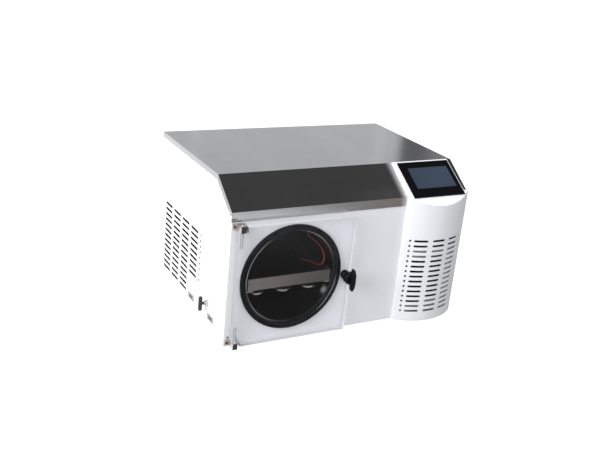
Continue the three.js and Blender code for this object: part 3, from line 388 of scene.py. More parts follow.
# Oiled brown black of the hinge arms' end caps and the small screws, and nearly black at the latch.
DARK_STEEL = Mottled(
    Slot.BRIGHT_STEEL,
    "darksteel",
    (0.075, 0.06, 0.055),
    grain=120.0,
    tint=(0.7, 0.6),
    rough=(0.3, 0.16),
    metal=0.7,
)
BLACK_STEEL = replace(DARK_STEEL, name="blacksteel", colour=(0.012, 0.011, 0.011))

# Dipped semi-gloss enamel of the compressor shell, with soft runs.
ENAMEL = Mottled(
    Slot.BLACK_ENAMEL,
    "enamel",
    (0.012, 0.012, 0.014),
    grain=(90.0, 90.0, 22.0),
    detail=2.0,
    rough=(0.2, 0.2),
    relief=(0.0001, 0.3),
)

# Thin aluminium fins painted near black as painted shade for the light trapped between them, with a
# little dust.
SHADED_FINS = Mottled(
    Slot.FIN_ALUMINIUM,
    "shadedfins",
    (0.06, 0.06, 0.065),
    grain=70.0,
    tint=(0.85, 0.25),
    rough=(0.4, 0.2),
    metal=0.4,
)

# Satin film of the blank plates, lightly rubbed, and their plain darker field.
BLANK_LABEL = Mottled(
    Slot.LABEL_PLATE,
    "blanklabel",
    (0.33, 0.335, 0.345),
    grain=(90.0, 60.0, 700.0),
    tint=(0.85, 0.3),
    rough=(0.3, 0.2),
    metal=0.3,
)
DARK_FIELD = replace(BLANK_LABEL, name="darkfield", colour=(0.07, 0.07, 0.075))

# Soft red jacket of the probe lead.
RED_SILICONE = Mottled(
    Slot.PROBE_RED,
    "redsilicone",
    (0.36, 0.035, 0.05),
    grain=700.0,
    detail=2.0,
    tint=(0.85, 0.3),
    rough=(0.37, 0.1),
    softness=0.05,
)


@dataclass(frozen=True)
class PowderCoat(Finish):
    """White satin powder coat with a fine orange peel."""

    slot: Slot = Slot.WHITE_PAINT
    colour: Colour = (0.84, 0.848, 0.885)
    roughness: float = 0.34
    peel_scale: float = 650.0
    peel_depth: float = 0.00006
    bench_shade: Pair = (0.03, 0.0)

    def shade(self, graph: Graph) -> Socket:
        """Shades a slightly uneven coat with painted shade that greys it near the bench."""
        cloud = graph.noise(7.0, 2.0)
        peel = graph.noise(self.peel_scale, 2.0)
        speck = graph.noise(2600.0, 1.0).rising(0.72, 0.78)
        # painted shade: greyer towards the bench
        bench_shade_mask = graph.along(Axis.Z).rising(*self.bench_shade)
        share = 1.0 + cloud.swing(0.035) - bench_shade_mask * 0.06 - speck * 0.03
        return graph.principled(
            Base_Color=graph.tinted(self.colour, share),
            Roughness=self.roughness + cloud.swing(0.1) + peel.swing(0.08),
            Normal=graph.bump(peel, self.peel_depth, 0.5),
            IOR=1.5,
        )


@dataclass(frozen=True)
class SatinSheet(Finish):
    """Rolled stainless sheet with its grain along X, a painted reflection of the tower beside it
    and darker, warmer painted shade on the lip and the front slope.
    """

    slot: Slot = Slot.SATIN_STEEL
    colour: Colour = (0.47, 0.475, 0.48)
    # painted shade: darker, warmer tone for the lip and the front slope
    warm: Colour = (0.33, 0.3, 0.282)
    # painted reflection of the white tower, near white and less metallic
    haze: Colour = (0.8, 0.8, 0.82)
    roughness: float = 0.085
    lip_top: Pair = (0.3186, 0.3174)
    lip_shade_right: Pair = (-0.12, 0.14)
    slope_back: Pair = (-0.1105, -0.1125)
    slope_right: Pair = (-0.06, 0.1)
    slope_low: Pair = (0.34, 0.325)
    tower_reflection_near: Pair = (0.115, 0.135)
    tower_reflection_past: Pair = (0.195, 0.155)

    def shade(self, graph: Graph) -> Socket:
        """Shades the grain, faint bands of painted reflection across X, handling marks, the painted
        tower reflection and painted shade.
        """
        grain = graph.noise((9.0, 1500.0, 1500.0), 2.0)
        long_grain = graph.noise((3.0, 420.0, 420.0))
        # painted reflection: bands of brightness across X for blurred reflections
        band = graph.noise((16.0, 0.4, 0.4), 2.0)
        smudge = graph.noise(11.0).rising(0.5, 0.8)
        x, height = graph.along(Axis.X), graph.along(Axis.Z)
        lip = height.rising(*self.lip_top)
        front = graph.along(Axis.Y).rising(*self.slope_back)
        # painted shade: the lip darker and warmer towards the right, the front slope half so
        tone = graph.mixed(lip * x.rising(*self.lip_shade_right), self.colour, self.warm)
        tone = graph.mixed(front * (1 - lip) * 0.5, tone, self.warm)
        # painted reflection of the tower beside it, and a faint painted sheen low on the slope's
        # right
        haze = x.rising(*self.tower_reflection_near) ** 1.6 * front * x.rising(*self.tower_reflection_past)
        painted_sheen_low_right = x.rising(*self.slope_right) * height.rising(*self.slope_low) * front
        haze = (haze * 0.5).at_least(painted_sheen_low_right * (1 - lip) * 0.025)
        tone = graph.mixed(haze, tone, self.haze)
        share = 0.96 + grain.swing(0.1) + long_grain.swing(0.12) + band.swing(0.22)
        return graph.principled(
            Base_Color=graph.tinted(tone, share),
            Metallic=1.0 - haze,
            Roughness=self.roughness + long_grain.swing(0.06) + smudge * 0.03,
            Normal=graph.bump(grain, 0.00002, 0.25),
        )


@dataclass(frozen=True)
class BrightSteel(Finish):
    """Machined and drawn stainless fittings."""

    slot: Slot = Slot.BRIGHT_STEEL
    colour: Colour = (0.7, 0.69, 0.66)
    roughness: float = 0.2
    metal: float = 1.0

    def shade(self, graph: Graph) -> Socket:
        """Shades fine drawn lines and a little staining."""
        line = graph.noise((1400.0, 90.0, 1400.0), 2.0)
        stain = graph.noise(45.0)
        share = 0.98 + line.swing(0.14) - stain.rising(0.55, 0.8) * 0.12
        return graph.principled(
            Base_Color=graph.tinted(self.colour, share),
            Metallic=self.metal,
            Roughness=self.roughness + line.swing(0.1) + stain.swing(0.12),
            Normal=graph.bump(line, 0.00001, 0.2),
        )


@dataclass(frozen=True)
class ChamberSteel(Finish):
    """The barrel: bright rim in front, painted near black inside as painted shade, with a mottled
    film, and a painted highlight on the right wall.
    """

    slot: Slot = Slot.BRIGHT_STEEL
    rim: Colour = (0.45, 0.44, 0.43)
    # painted shade: the chamber's inside painted near black
    inside: Colour = (0.04, 0.04, 0.044)
    # painted highlight: a pale, less metallic patch on the right wall
    polished: Colour = (0.8, 0.79, 0.77)
    polish: float = 0.7
    rim_edge: Pair = (-0.1884, -0.189)
    highlight_right: Pair = (-0.066, -0.056)
    highlight_depth: Span = ((-0.191, -0.182), (-0.166, -0.176))
    highlight_height: Span = ((0.099, 0.111), (0.125, 0.112))

    def shade(self, graph: Graph) -> Socket:
        """Shades the rim bright, the inside dark as painted shade and one patch on the right wall
        as a painted highlight.
        """
        y = graph.along(Axis.Y)
        rim = y.rising(*self.rim_edge)
        ring = graph.noise((30.0, 900.0, 30.0), 2.0)
        film = graph.noise(24.0)
        # painted highlight patch on the right wall
        worn = graph.along(Axis.X).rising(*self.highlight_right) * y.between(self.highlight_depth)
        worn = worn * self.polish * graph.along(Axis.Z).between(self.highlight_height)
        tone = graph.mixed(worn, graph.mixed(rim, self.inside, self.rim), self.polished)
        return graph.principled(
            Base_Color=graph.tinted(tone, 0.95 + ring.swing(0.2) + film.swing(0.3)),
            Metallic=1.0 - worn * 0.8,
            Roughness=0.3 - rim * 0.12 + film.swing(0.15),
            Normal=graph.bump(ring, 0.00002, 0.2),
        )


@dataclass(frozen=True)
class TraySteel(Finish):
    """Warm grey satin of a product tray, with painted shade on its right half and deeper in the
    chamber.
    """

    slot: Slot = Slot.TRAY_STEEL
    colour: Colour = (0.29, 0.268, 0.245)
    # painted shade: the darker tone of the tray's right half
    worn: Colour = (0.155, 0.147, 0.14)
    right: Pair = (-0.24, -0.06)
    inward: Pair = (-0.188, -0.158)

    def shade(self, graph: Graph) -> Socket:
        """Shades long scratches and dull patches, with painted shade on the right half and deeper
        in.
        """
        grain = graph.noise((14.0, 14.0, 1300.0))
        patch = graph.noise(28.0)
        # painted shade: darker deeper inside the chamber
        inward = graph.along(Axis.Y).rising(*self.inward)
        share = (1.0 + grain.swing(0.16) + patch.swing(0.22)) * (1.0 - inward * 0.6)
        tone = graph.mixed(graph.along(Axis.X).rising(*self.right), self.colour, self.worn)
        return graph.principled(
            Base_Color=graph.tinted(tone, share),
            Metallic=0.85,
            Roughness=0.4 + patch.swing(0.18) + grain.swing(0.1),
            Normal=graph.bump(grain, 0.00002, 0.3),
        )


@dataclass(frozen=True)
class ClearAcrylic(Finish):
    """Clear cast acrylic with hairline scratches; lamps shine through it."""

    slot: Slot = Slot.CLEAR_ACRYLIC
    colour: Colour = (0.9, 0.903, 0.91)

    def shade(self, graph: Graph) -> Socket:
        """Shades clear plate that does not darken what is behind it."""
        hair = graph.noise((2200.0, 40.0, 60.0), 2.0).rising(0.66, 0.74)
        glass = graph.principled(
            Base_Color=self.colour,
            Roughness=0.012 + hair * 0.06,
            IOR=1.49,
            Specular_Tint=(0.15, 0.15, 0.15, 1.0),
            Transmission_Weight=1.0,
        )
        return graph.clear_to_lamps(glass, self.colour)


@dataclass(frozen=True)
class AcrylicEdge(Finish):
    """The plate's sawn and flame-polished edges, milky and pale, with a painted glow of the light
    that the plate carries to them.
    """

    slot: Slot = Slot.CLEAR_ACRYLIC
    colour: Colour = (0.6, 0.605, 0.625)

    def shade(self, graph: Graph) -> Socket:
        """Shades a milky edge with faint saw marks."""
        saw = graph.noise((60.0, 60.0, 900.0), 2.0)
        milky = graph.principled(
            Base_Color=graph.tinted(self.colour, 0.94 + saw * 0.1),
            Roughness=0.3 + saw * 0.15,
            IOR=1.3,
        )
        return graph.clear_to_lamps(milky, self.colour)


@dataclass(frozen=True)
class HingeSteel(Finish):
    """The cast hinge arms, a warm brushed grey."""

    slot: Slot = Slot.BRIGHT_STEEL
    colour: Colour = (0.66, 0.62, 0.57)

    def shade(self, graph: Graph) -> Socket:
        """Shades brushed faces with dirt in the pores."""
        line = graph.noise((60.0, 60.0, 1500.0), 2.0)
        dirt = graph.noise(160.0).rising(0.55, 0.75)
        return graph.principled(
            Base_Color=graph.tinted(self.colour, 1.0 + line.swing(0.3) - dirt * 0.35),
            Metallic=0.9,
            Roughness=0.36 + line.swing(0.14),
            Normal=graph.bump(line, 0.00002, 0.3),
        )


@dataclass(frozen=True)
class Rubber(Finish):
    """Matt black rubber with a bloom."""

    slot: Slot = Slot.BLACK_RUBBER
    colour: Colour = (0.004, 0.004, 0.005)
    bloom: Colour = (0.01, 0.01, 0.011)

    def shade(self, graph: Graph) -> Socket:
        """Shades a fine grain and a faint grey bloom."""
        grain = graph.noise(900.0, 2.0)
        bloom = graph.noise(30.0).rising(0.45, 0.8)
        return graph.principled(
            Base_Color=graph.mixed(bloom * 0.3, self.colour, self.bloom),
            Roughness=0.2 + grain.swing(0.12) + bloom * 0.1,
            Specular_IOR_Level=0.06,
            Normal=graph.bump(grain, 0.00005, 0.35),
        )


@dataclass(frozen=True)
class RubberEdgeHighlight(Finish):
    """The gasket's inner edge, with a painted highlight where it would catch the light."""

    slot: Slot = Slot.BLACK_RUBBER
    colour: Colour = (0.008, 0.008, 0.009)
    # painted highlight: the pale colour of the edge where it would catch the light
    rubbed: Colour = (0.6, 0.6, 0.61)
    left: Pair = (-0.195, -0.225)
    left_height: Pair = (0.125, 0.175)
    right: Pair = (-0.085, -0.06)
    right_height: Pair = (0.165, 0.13)

    def shade(self, graph: Graph) -> Socket:
        """Shades a pale painted highlight on the edge at the upper left and a little at the lower
        right.
        """
        wear = graph.noise(60.0)
        x, height = graph.along(Axis.X), graph.along(Axis.Z)
        left = x.rising(*self.left) * height.rising(*self.left_height)
        right = x.rising(*self.right) * height.rising(*self.right_height)
        # painted highlight mask, upper left and fainter lower right
        worn = left.at_least(right * 0.3) * (0.8 + wear * 0.4)
        return graph.principled(
            Base_Color=graph.mixed(worn, self.colour, self.rubbed),
            Roughness=0.2 + wear * 0.1,
            Specular_IOR_Level=0.2,
        )


@dataclass(frozen=True)
class BlackPlastic(Finish):
    """Moulded black plastic with a fine spark texture."""

    slot: Slot = Slot.BLACK_PLASTIC
    colour: Colour = (0.005, 0.005, 0.006)
    roughness: float = 0.32

    def shade(self, graph: Graph) -> Socket:
        """Shades the moulding texture and slight polish from handling."""
        spark = graph.noise(1900.0, 2.0)
        worn = graph.noise(60.0)
        return graph.principled(
            Base_Color=graph.tinted(self.colour, 0.9 + worn * 0.3),
            Roughness=self.roughness + spark.swing(0.16) + worn.swing(0.14),
            Specular_IOR_Level=0.16,
            Normal=graph.bump(spark, 0.00003, 0.35),
        )


@dataclass(frozen=True)
class BezelGloss(Finish):
    """Gloss black screen surround."""

    slot: Slot = Slot.BLACK_PLASTIC
    colour: Colour = (0.003, 0.003, 0.004)

    def shade(self, graph: Graph) -> Socket:
        """Shades a polished face with faint smears."""
        smear = graph.noise((30.0, 90.0, 90.0))
        return graph.principled(
            Base_Color=graph.tinted(self.colour, 0.8 + smear * 0.4),
            Roughness=0.12 + smear.rising(0.5, 0.8) * 0.12,
            Specular_IOR_Level=0.22,
        )


@dataclass(frozen=True)
class Galvanised(Finish):
    """Zinc-coated sheet with its spangle."""

    slot: Slot = Slot.GALVANISED
    colour: Colour = (0.5, 0.52, 0.54)

    def shade(self, graph: Graph) -> Socket:
        """Shades flat crystals of differing grey."""
        inputs = {"Vector": graph.place(), "Scale": 90.0}
        crystal = graph.node("ShaderNodeTexVoronoi", inputs=inputs, out="Color")
        tone = graph.along(Axis.X, crystal)
        haze = graph.noise(40.0)
        return graph.principled(
            Base_Color=graph.tinted(self.colour, 0.88 + tone * 0.24),
            Metallic=0.85,
            Roughness=0.38 + tone * 0.14 + haze.swing(0.1),
        )


@dataclass(frozen=True)
class BareCopper(Finish):
    """Drawn copper with browning."""

    slot: Slot = Slot.COPPER
    colour: Colour = (0.72, 0.36, 0.2)
    browned: Colour = (0.3, 0.14, 0.08)

    def shade(self, graph: Graph) -> Socket:
        """Shades bright metal under patches of brown."""
        brown = graph.noise(55.0, 4.0).rising(0.42, 0.72)
        return graph.principled(
            Base_Color=graph.mixed(brown * 0.7, self.colour, self.browned),
            Metallic=1.0,
            Roughness=0.24 + brown * 0.2,
        )


@dataclass(frozen=True)
class SolderResist(Finish):
    """Green board with tinned pads."""

    slot: Slot = Slot.CIRCUIT_BOARD
    colour: Colour = (0.012, 0.075, 0.035)
    track: Colour = (0.03, 0.14, 0.06)
    tin: Colour = (0.6, 0.6, 0.58)

    def shade(self, graph: Graph) -> Socket:
        """Shades tracks as fields of lighter green and dots of tin."""
        settings = {"feature": "F1", "distance": "CHEBYCHEV"}
        where = {"Vector": graph.place(), "Scale": 170.0, "Randomness": 0.35}
        cell = graph.node("ShaderNodeTexVoronoi", settings, where, out="Distance")
        pad = cell.rising(0.16, 0.12)
        green = graph.mixed(cell.rising(0.4, 0.44) * 0.5, self.colour, self.track)
        return graph.principled(
            Base_Color=graph.mixed(pad, green, self.tin),
            Metallic=pad * 0.9,
            Roughness=0.32 - pad * 0.06,
        )


@dataclass(frozen=True)
class DimScreen(Finish):
    """A dim slate-blue panel under polished glass, with plain fields and no writing."""

    slot: Slot = Slot.SCREEN
    glass: Colour = (0.01, 0.012, 0.016)
    low: Colour = (0.026, 0.044, 0.068)
    high: Colour = (0.036, 0.056, 0.092)
    # painted shade for the lower right corner, and a painted reflection veil on the glass
    shaded_corner_tone: Colour = (0.032, 0.036, 0.042)
    painted_reflection_veil: Colour = (0.03, 0.045, 0.06)
    across: Pair = (0.15, 0.26)
    fade_right: Pair = (0.2, 0.28)
    fade_low: Pair = (0.345, 0.325)

    def shade(self, graph: Graph) -> Socket:
        """Shades the screen's own dim glow, with a painted reflection gradient and veil and painted
        shade towards the lower right corner.
        """
        x = graph.along(Axis.X)
        fade = x.rising(*self.fade_right) * graph.along(Axis.Z).rising(*self.fade_low)
        glow = graph.mixed(x.rising(*self.across), self.low, self.high)
        glow = graph.mixed(fade * 0.6, glow, self.shaded_corner_tone)
        haze = graph.noise(26.0, 2.0)
        return graph.principled(
            Base_Color=self.glass,
            Roughness=0.14 + haze.swing(0.06),
            Emission_Color=graph.mixed(haze * 0.4, glow, self.painted_reflection_veil),
            Emission_Strength=1.0,
        )


# painted highlight: the hinge pins pale and only partly metallic, to read as bright bars
PIN_STEEL_HIGHLIGHT = BrightSteel(name="pinsteelhighlight", colour=(0.95, 0.95, 0.96), roughness=0.45, metal=0.3)
# painted shade: a darker copy of the edge finish for the plate's left side
ACRYLIC_SIDE_SHADED = AcrylicEdge(name="acrylicsideshaded", colour=(0.4, 0.403, 0.418))
HANDLE_PLASTIC = BlackPlastic(name="handleplastic", colour=(0.045, 0.045, 0.047))
# painted shade: the condenser frame's galvanised steel painted near black
SHADED_GALVANISED = Galvanised(name="shadedgalvanised", colour=(0.09, 0.09, 0.095))


# ------------------------------------------------------------------------------------------- meshes


def ring_points(radius: float, height: float, sides: int) -> list[Vector]:
    """The corners of a level ring about local Z, in metres, from millimetres."""
    turns = [2 * math.pi * i / sides for i in range(sides)]
    return [Vector((radius * math.cos(t), radius * math.sin(t), height)) * MM for t in turns]


class Blank:
    """A mesh in the making, in metres, that ends as one named piece."""

    def __init__(self) -> None:
        """Starts empty."""
        self.bm = bmesh.new()

    def moved(self, verts: Iterable[bmesh.types.BMVert], place: Matrix) -> None:
        """Moves new corners to their place."""
        bmesh.ops.transform(self.bm, matrix=place, verts=list(verts))

    def corners(self, points: Iterable[Vector]) -> list[bmesh.types.BMVert]:
        """Adds loose corners."""
        return [self.bm.verts.new(point) for point in points]

    def band(self, lower: list[bmesh.types.BMVert], upper: list[bmesh.types.BMVert]) -> None:
        """Joins two rings with faces.

        Args:
            lower: One ring's corners, or a single tip.
            upper: The other's.
        """
        count = max(len(lower), len(upper))
        for i in range(count):
            j = (i + 1) % count
            around = [lower[i % len(lower)], lower[j % len(lower)]]
            around += [upper[j % len(upper)], upper[i % len(upper)]]
            self.bm.faces.new(list(dict.fromkeys(around)))

    def slab(self, low: Vector, high: Vector) -> None:
        """Adds a box between its lowest and highest corners."""
        made = bmesh.ops.create_cube(self.bm, size=1.0)["verts"]
        size = Matrix.Diagonal((*(high - low), 1.0))
        self.moved(made, Matrix.Translation((low + high) / 2) @ size)

    def turned(self, profile: Sequence[Pair], place: Matrix, sides: int = 32) -> None:
        """Adds a solid of revolution about local Z.

        Args:
            profile: Radius and height pairs in millimetres, starting and ending on the axis.
            place: Where it goes.
            sides: Steps round.
        """
        rings = [self.corners(ring_points(r, h, sides if r else 1)) for r, h in profile]
        for lower, upper in zip(rings, rings[1:]):
            self.band(lower, upper)
        self.moved([v for ring in rings for v in ring], place)

    def loft(self, sections: Sequence[Sequence[Vector]]) -> None:
        """Adds a closed form through equal sections.

        Args:
            sections: Rings of points, each with as many as the first.
        """
        rings = [self.corners(section) for section in sections]
        for lower, upper in zip(rings, rings[1:]):
            self.band(lower, upper)
        self.bm.faces.new(list(reversed(rings[0])))
        self.bm.faces.new(rings[-1])

    def mesh(self, name: str) -> bpy.types.Mesh:
        """Ends the corners and faces as a mesh."""
        made = bpy.data.meshes.new(name)
        self.bm.to_mesh(made)
        self.bm.free()
        return made

    def piece(self, name: str, body: str, finish: Finish) -> bpy.types.Object:
        """Ends the mesh as a piece.

        Args:
            name: The piece's name.
            body: The CAD body that it rides on.
            finish: Its finish.

        Returns:
            The new object.
        """
        bmesh.ops.recalc_face_normals(self.bm, faces=self.bm.faces)
        return finished(name, self.mesh(name), body, finish, crease=40.0)


def finished(
    name: str, mesh: bpy.types.Mesh, body: str, finish: Finish, crease: float
) -> bpy.types.Object:
    """Makes an object of a mesh, smooths it, dresses it and puts it on its body.

    Args:
        name: The piece's name.
        mesh: Its mesh, in metres in the frame.
        body: The CAD body that it rides on.
        finish: Its finish.
        crease: Edges sharper than this many degrees stay sharp.

    Returns:
        The new object.
    """
    made = bpy.data.objects.new(name, mesh)
    bpy.context.scene.collection.objects.link(made)
    mesh.materials.clear()
    mesh.materials.append(finish.material())
    mesh.polygons.foreach_set("use_smooth", [True] * len(mesh.polygons))
    mesh.set_sharp_from_angle(angle=math.radians(crease))
    weighted = made.modifiers.new("even_normals", "WEIGHTED_NORMAL")
    weighted.keep_sharp = True
    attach(made, body)
    log.info("%s: %d faces, on %s", name, len(mesh.polygons), body)
    return made


SAME_PLACE = 2e-6  # corners nearer than this, in metres, are one
FLAT = math.radians(0.4)  # faces that turn less than this are joined
CORNERED = math.radians(28.0)  # edges that turn more than this are rounded
REFINED_CREASE = 46.0  # degrees


def refined(node: str, finish: Finish, edge: float = 0.4, steps: int = 2) -> bpy.types.Object:
    """Makes the fine form of a CAD node: flat faces joined, edges rounded, curves smooth.

    Args:
        node: The CAD node's name.
        finish: Its finish.
        edge: The rounding in millimetres, or 0 for none.
        steps: Faces across each rounding.

    Returns:
        The piece that stands for the node.
    """
    blank = Blank()
    bm = blank.bm
    bm.from_mesh(frame["nodes"][node].data)
    bmesh.ops.remove_doubles(bm, verts=bm.verts, dist=SAME_PLACE)
    bmesh.ops.dissolve_limit(bm, angle_limit=FLAT, verts=bm.verts, edges=bm.edges)
    if edge:
        paired = [e for e in bm.edges if len(e.link_faces) == 2]
        bmesh.ops.bevel(
            bm,
            geom=[e for e in paired if e.calc_face_angle(0.0) > CORNERED],
            offset=edge * MM,
            segments=steps,
            profile=0.5,
            affect="EDGES",
            clamp_overlap=True,
        )
    made = finished(f"{node}_made", blank.mesh(node), body_of_node(node), finish, REFINED_CREASE)
    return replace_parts(made, node)


def refine_all(nodes: Iterable[str], finish: Finish, edge: float) -> None:
    """Makes the fine forms of several CAD nodes alike.

    Args:
        nodes: Their names.
        finish: Their finish.
        edge: Their rounding in millimetres.
    """
    for node in nodes:
        refined(node, finish, edge)


def faced(
    piece: bpy.types.Object, finish: Finish, faces: Iterable[bpy.types.MeshPolygon]
) -> None:
    """Gives some of a piece's faces another finish.

    Args:
        piece: The piece.
        finish: Those faces' finish.
        faces: The faces.
    """
    piece.data.materials.append(finish.material())
    for face in faces:
        face.material_index = len(piece.data.materials) - 1


UNSEEN = -0.5  # an unseen face turns away from the seen side by more than this cosine
SLOT_TURN = 0.35  # the side of a slot turns from it by more than this one
SLOT_SIDE = 1e-4  # and is smaller than this, in square metres


def paint_unseen_shade(
    panel: bpy.types.Object, outward: Point, slots: tuple[Vector, Vector] | None = None
) -> None:
    """Paints a panel's unseen side and the sides of its slots near black as painted shade.

    Args:
        panel: The panel.
        outward: The direction of its seen side.
        slots: The lowest and highest corners of the region whose slot sides get the painted shade
            too.
    """
    seen, shaded_faces = Vector(outward), []
    for face in panel.data.polygons:
        level = face.normal.dot(seen)
        within = slots and all(a < c < b for a, c, b in zip(slots[0], face.center, slots[1]))
        if level < UNSEEN or (within and level < SLOT_TURN and face.area < SLOT_SIDE):
            shaded_faces.append(face)
    faced(panel, INNER_SHADE, shaded_faces)


def dressed(node: str, finish: Finish) -> None:
    """Gives a CAD node its finish and leaves its shape.

    Args:
        node: The CAD node's name.
        finish: Its finish.
    """
    kept = frame["nodes"][node]
    kept.data.materials.clear()
    kept.data.materials.append(finish.material())


def tube(
    name: str, node: str, route: Sequence[Vector], radius: float, finish: Finish, limp: bool = False
) -> bpy.types.Object:
    """Lays a round tube or wire along a route.

    Args:
        name: The piece's name.
        node: The CAD node that it stands for.
        route: The points of its middle line, in the frame.
        radius: Its radius in millimetres.
        finish: Its finish.
        limp: Whether it curves smoothly through the points instead of running straight.

    Returns:
        The piece.
    """
    data = bpy.data.curves.new(name, "CURVE")
    data.dimensions = "3D"
    data.bevel_depth = radius * MM
    data.bevel_resolution = 3 if limp else 4
    data.use_fill_caps = True
    data.materials.append(finish.material())
    spline = data.splines.new("BEZIER" if limp else "POLY")
    if limp:
        data.resolution_u = 6
        spline.bezier_points.add(len(route) - 1)
        for knot, point in zip(spline.bezier_points, route):
            knot.co = point
            knot.handle_left_type = knot.handle_right_type = "AUTO"
    else:
        spline.points.add(len(route) - 1)
        for knot, point in zip(spline.points, route):
            knot.co = (*point, 1.0)
    made = bpy.data.objects.new(name, data)
    bpy.context.scene.collection.objects.link(made)
    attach(made, "root")
    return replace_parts(made, node)


def facing(direction: Point, where: Vector) -> Matrix:
    """A place in the frame whose local Z looks along a direction."""
    turn = Vector(direction).to_track_quat("Z", "Y").to_matrix().to_4x4()
    return Matrix.Translation(where) @ turn


@dataclass(frozen=True)
class PanHead:
    """A pan-head screw with a cross recess; lengths in millimetres."""

    radius: float = 3.0
    height: float = 1.8
    slot_width: float = 0.9
    recess: float = 1.1
    arm: float = 0.56  # of the radius
    sides: int = 24
    dome: tuple[Pair, ...] = ((1.0, 0.0), (1.0, 0.5), (0.9, 0.82), (0.74, 1.0))  # of both sizes

    def add(self, blank: Blank, place: Matrix) -> None:
        """Adds the head to a mesh.

        Args:
            blank: The mesh that it joins.
            place: Its seat, with local Z outwards.
        """
        sizes = [(self.radius * r, self.height * h) for r, h in self.dome]
        rings = [blank.corners(ring_points(r, h, self.sides)) for r, h in sizes]
        for lower, upper in zip(rings, rings[1:]):
            blank.band(lower, upper)
        blank.bm.faces.new(list(reversed(rings[0])))
        arm, half = self.radius * self.arm, self.slot_width / 2
        cross = [(arm, -half), (arm, half), (half, half), (half, arm), (-half, arm), (-half, half)]
        cross += [(-x, -y) for x, y in cross]
        levels = (self.height, self.height - self.recess)
        lip, floor = (blank.corners(Vector((x, y, z)) * MM for x, y in cross) for z in levels)
        edges = []
        for loop in (rings[-1], lip):
            for pair in zip(loop, loop[1:] + loop[:1]):
                edges.append(blank.bm.edges.get(pair) or blank.bm.edges.new(pair))
        bmesh.ops.triangle_fill(blank.bm, edges=edges, use_beauty=True)
        blank.band(lip, floor)
        blank.bm.faces.new(floor)
        blank.moved([v for ring in rings for v in ring] + lip + floor, place)

    def row(self, name: str, places: Iterable[Matrix], finish: Finish) -> None:
        """Makes one piece of several such heads.

        Args:
            name: The piece's name.
            places: The seat of each head.
            finish: Their finish.
        """
        blank = Blank()
        for place in places:
            self.add(blank, place)
        blank.piece(name, "root", finish)


# ------------------------------------------------------------------------------------------- studio


@dataclass(frozen=True)
class Softbox:
    """A rectangular soft lamp; lengths in metres, power in watts."""

    name: str
    where: Point
    aim: Point
    size: Pair
    power: float
    mirrored: bool = True

    def hang(self) -> None:
        """Hangs the lamp, facing its aim and unseen through the clear door."""
        data = bpy.data.lights.new(self.name, "AREA")
        data.shape, data.size, data.size_y = "RECTANGLE", *self.size
        data.energy = self.power
        lamp = bpy.data.objects.new(self.name, data)
        lamp.location = self.where
        lamp.rotation_mode = "QUATERNION"
        away = Vector(self.where) - Vector(self.aim)
        lamp.rotation_quaternion = away.to_track_quat("Z", "Y")
        lamp.visible_transmission = False
        lamp.visible_glossy = self.mirrored
        bpy.context.scene.collection.objects.link(lamp)


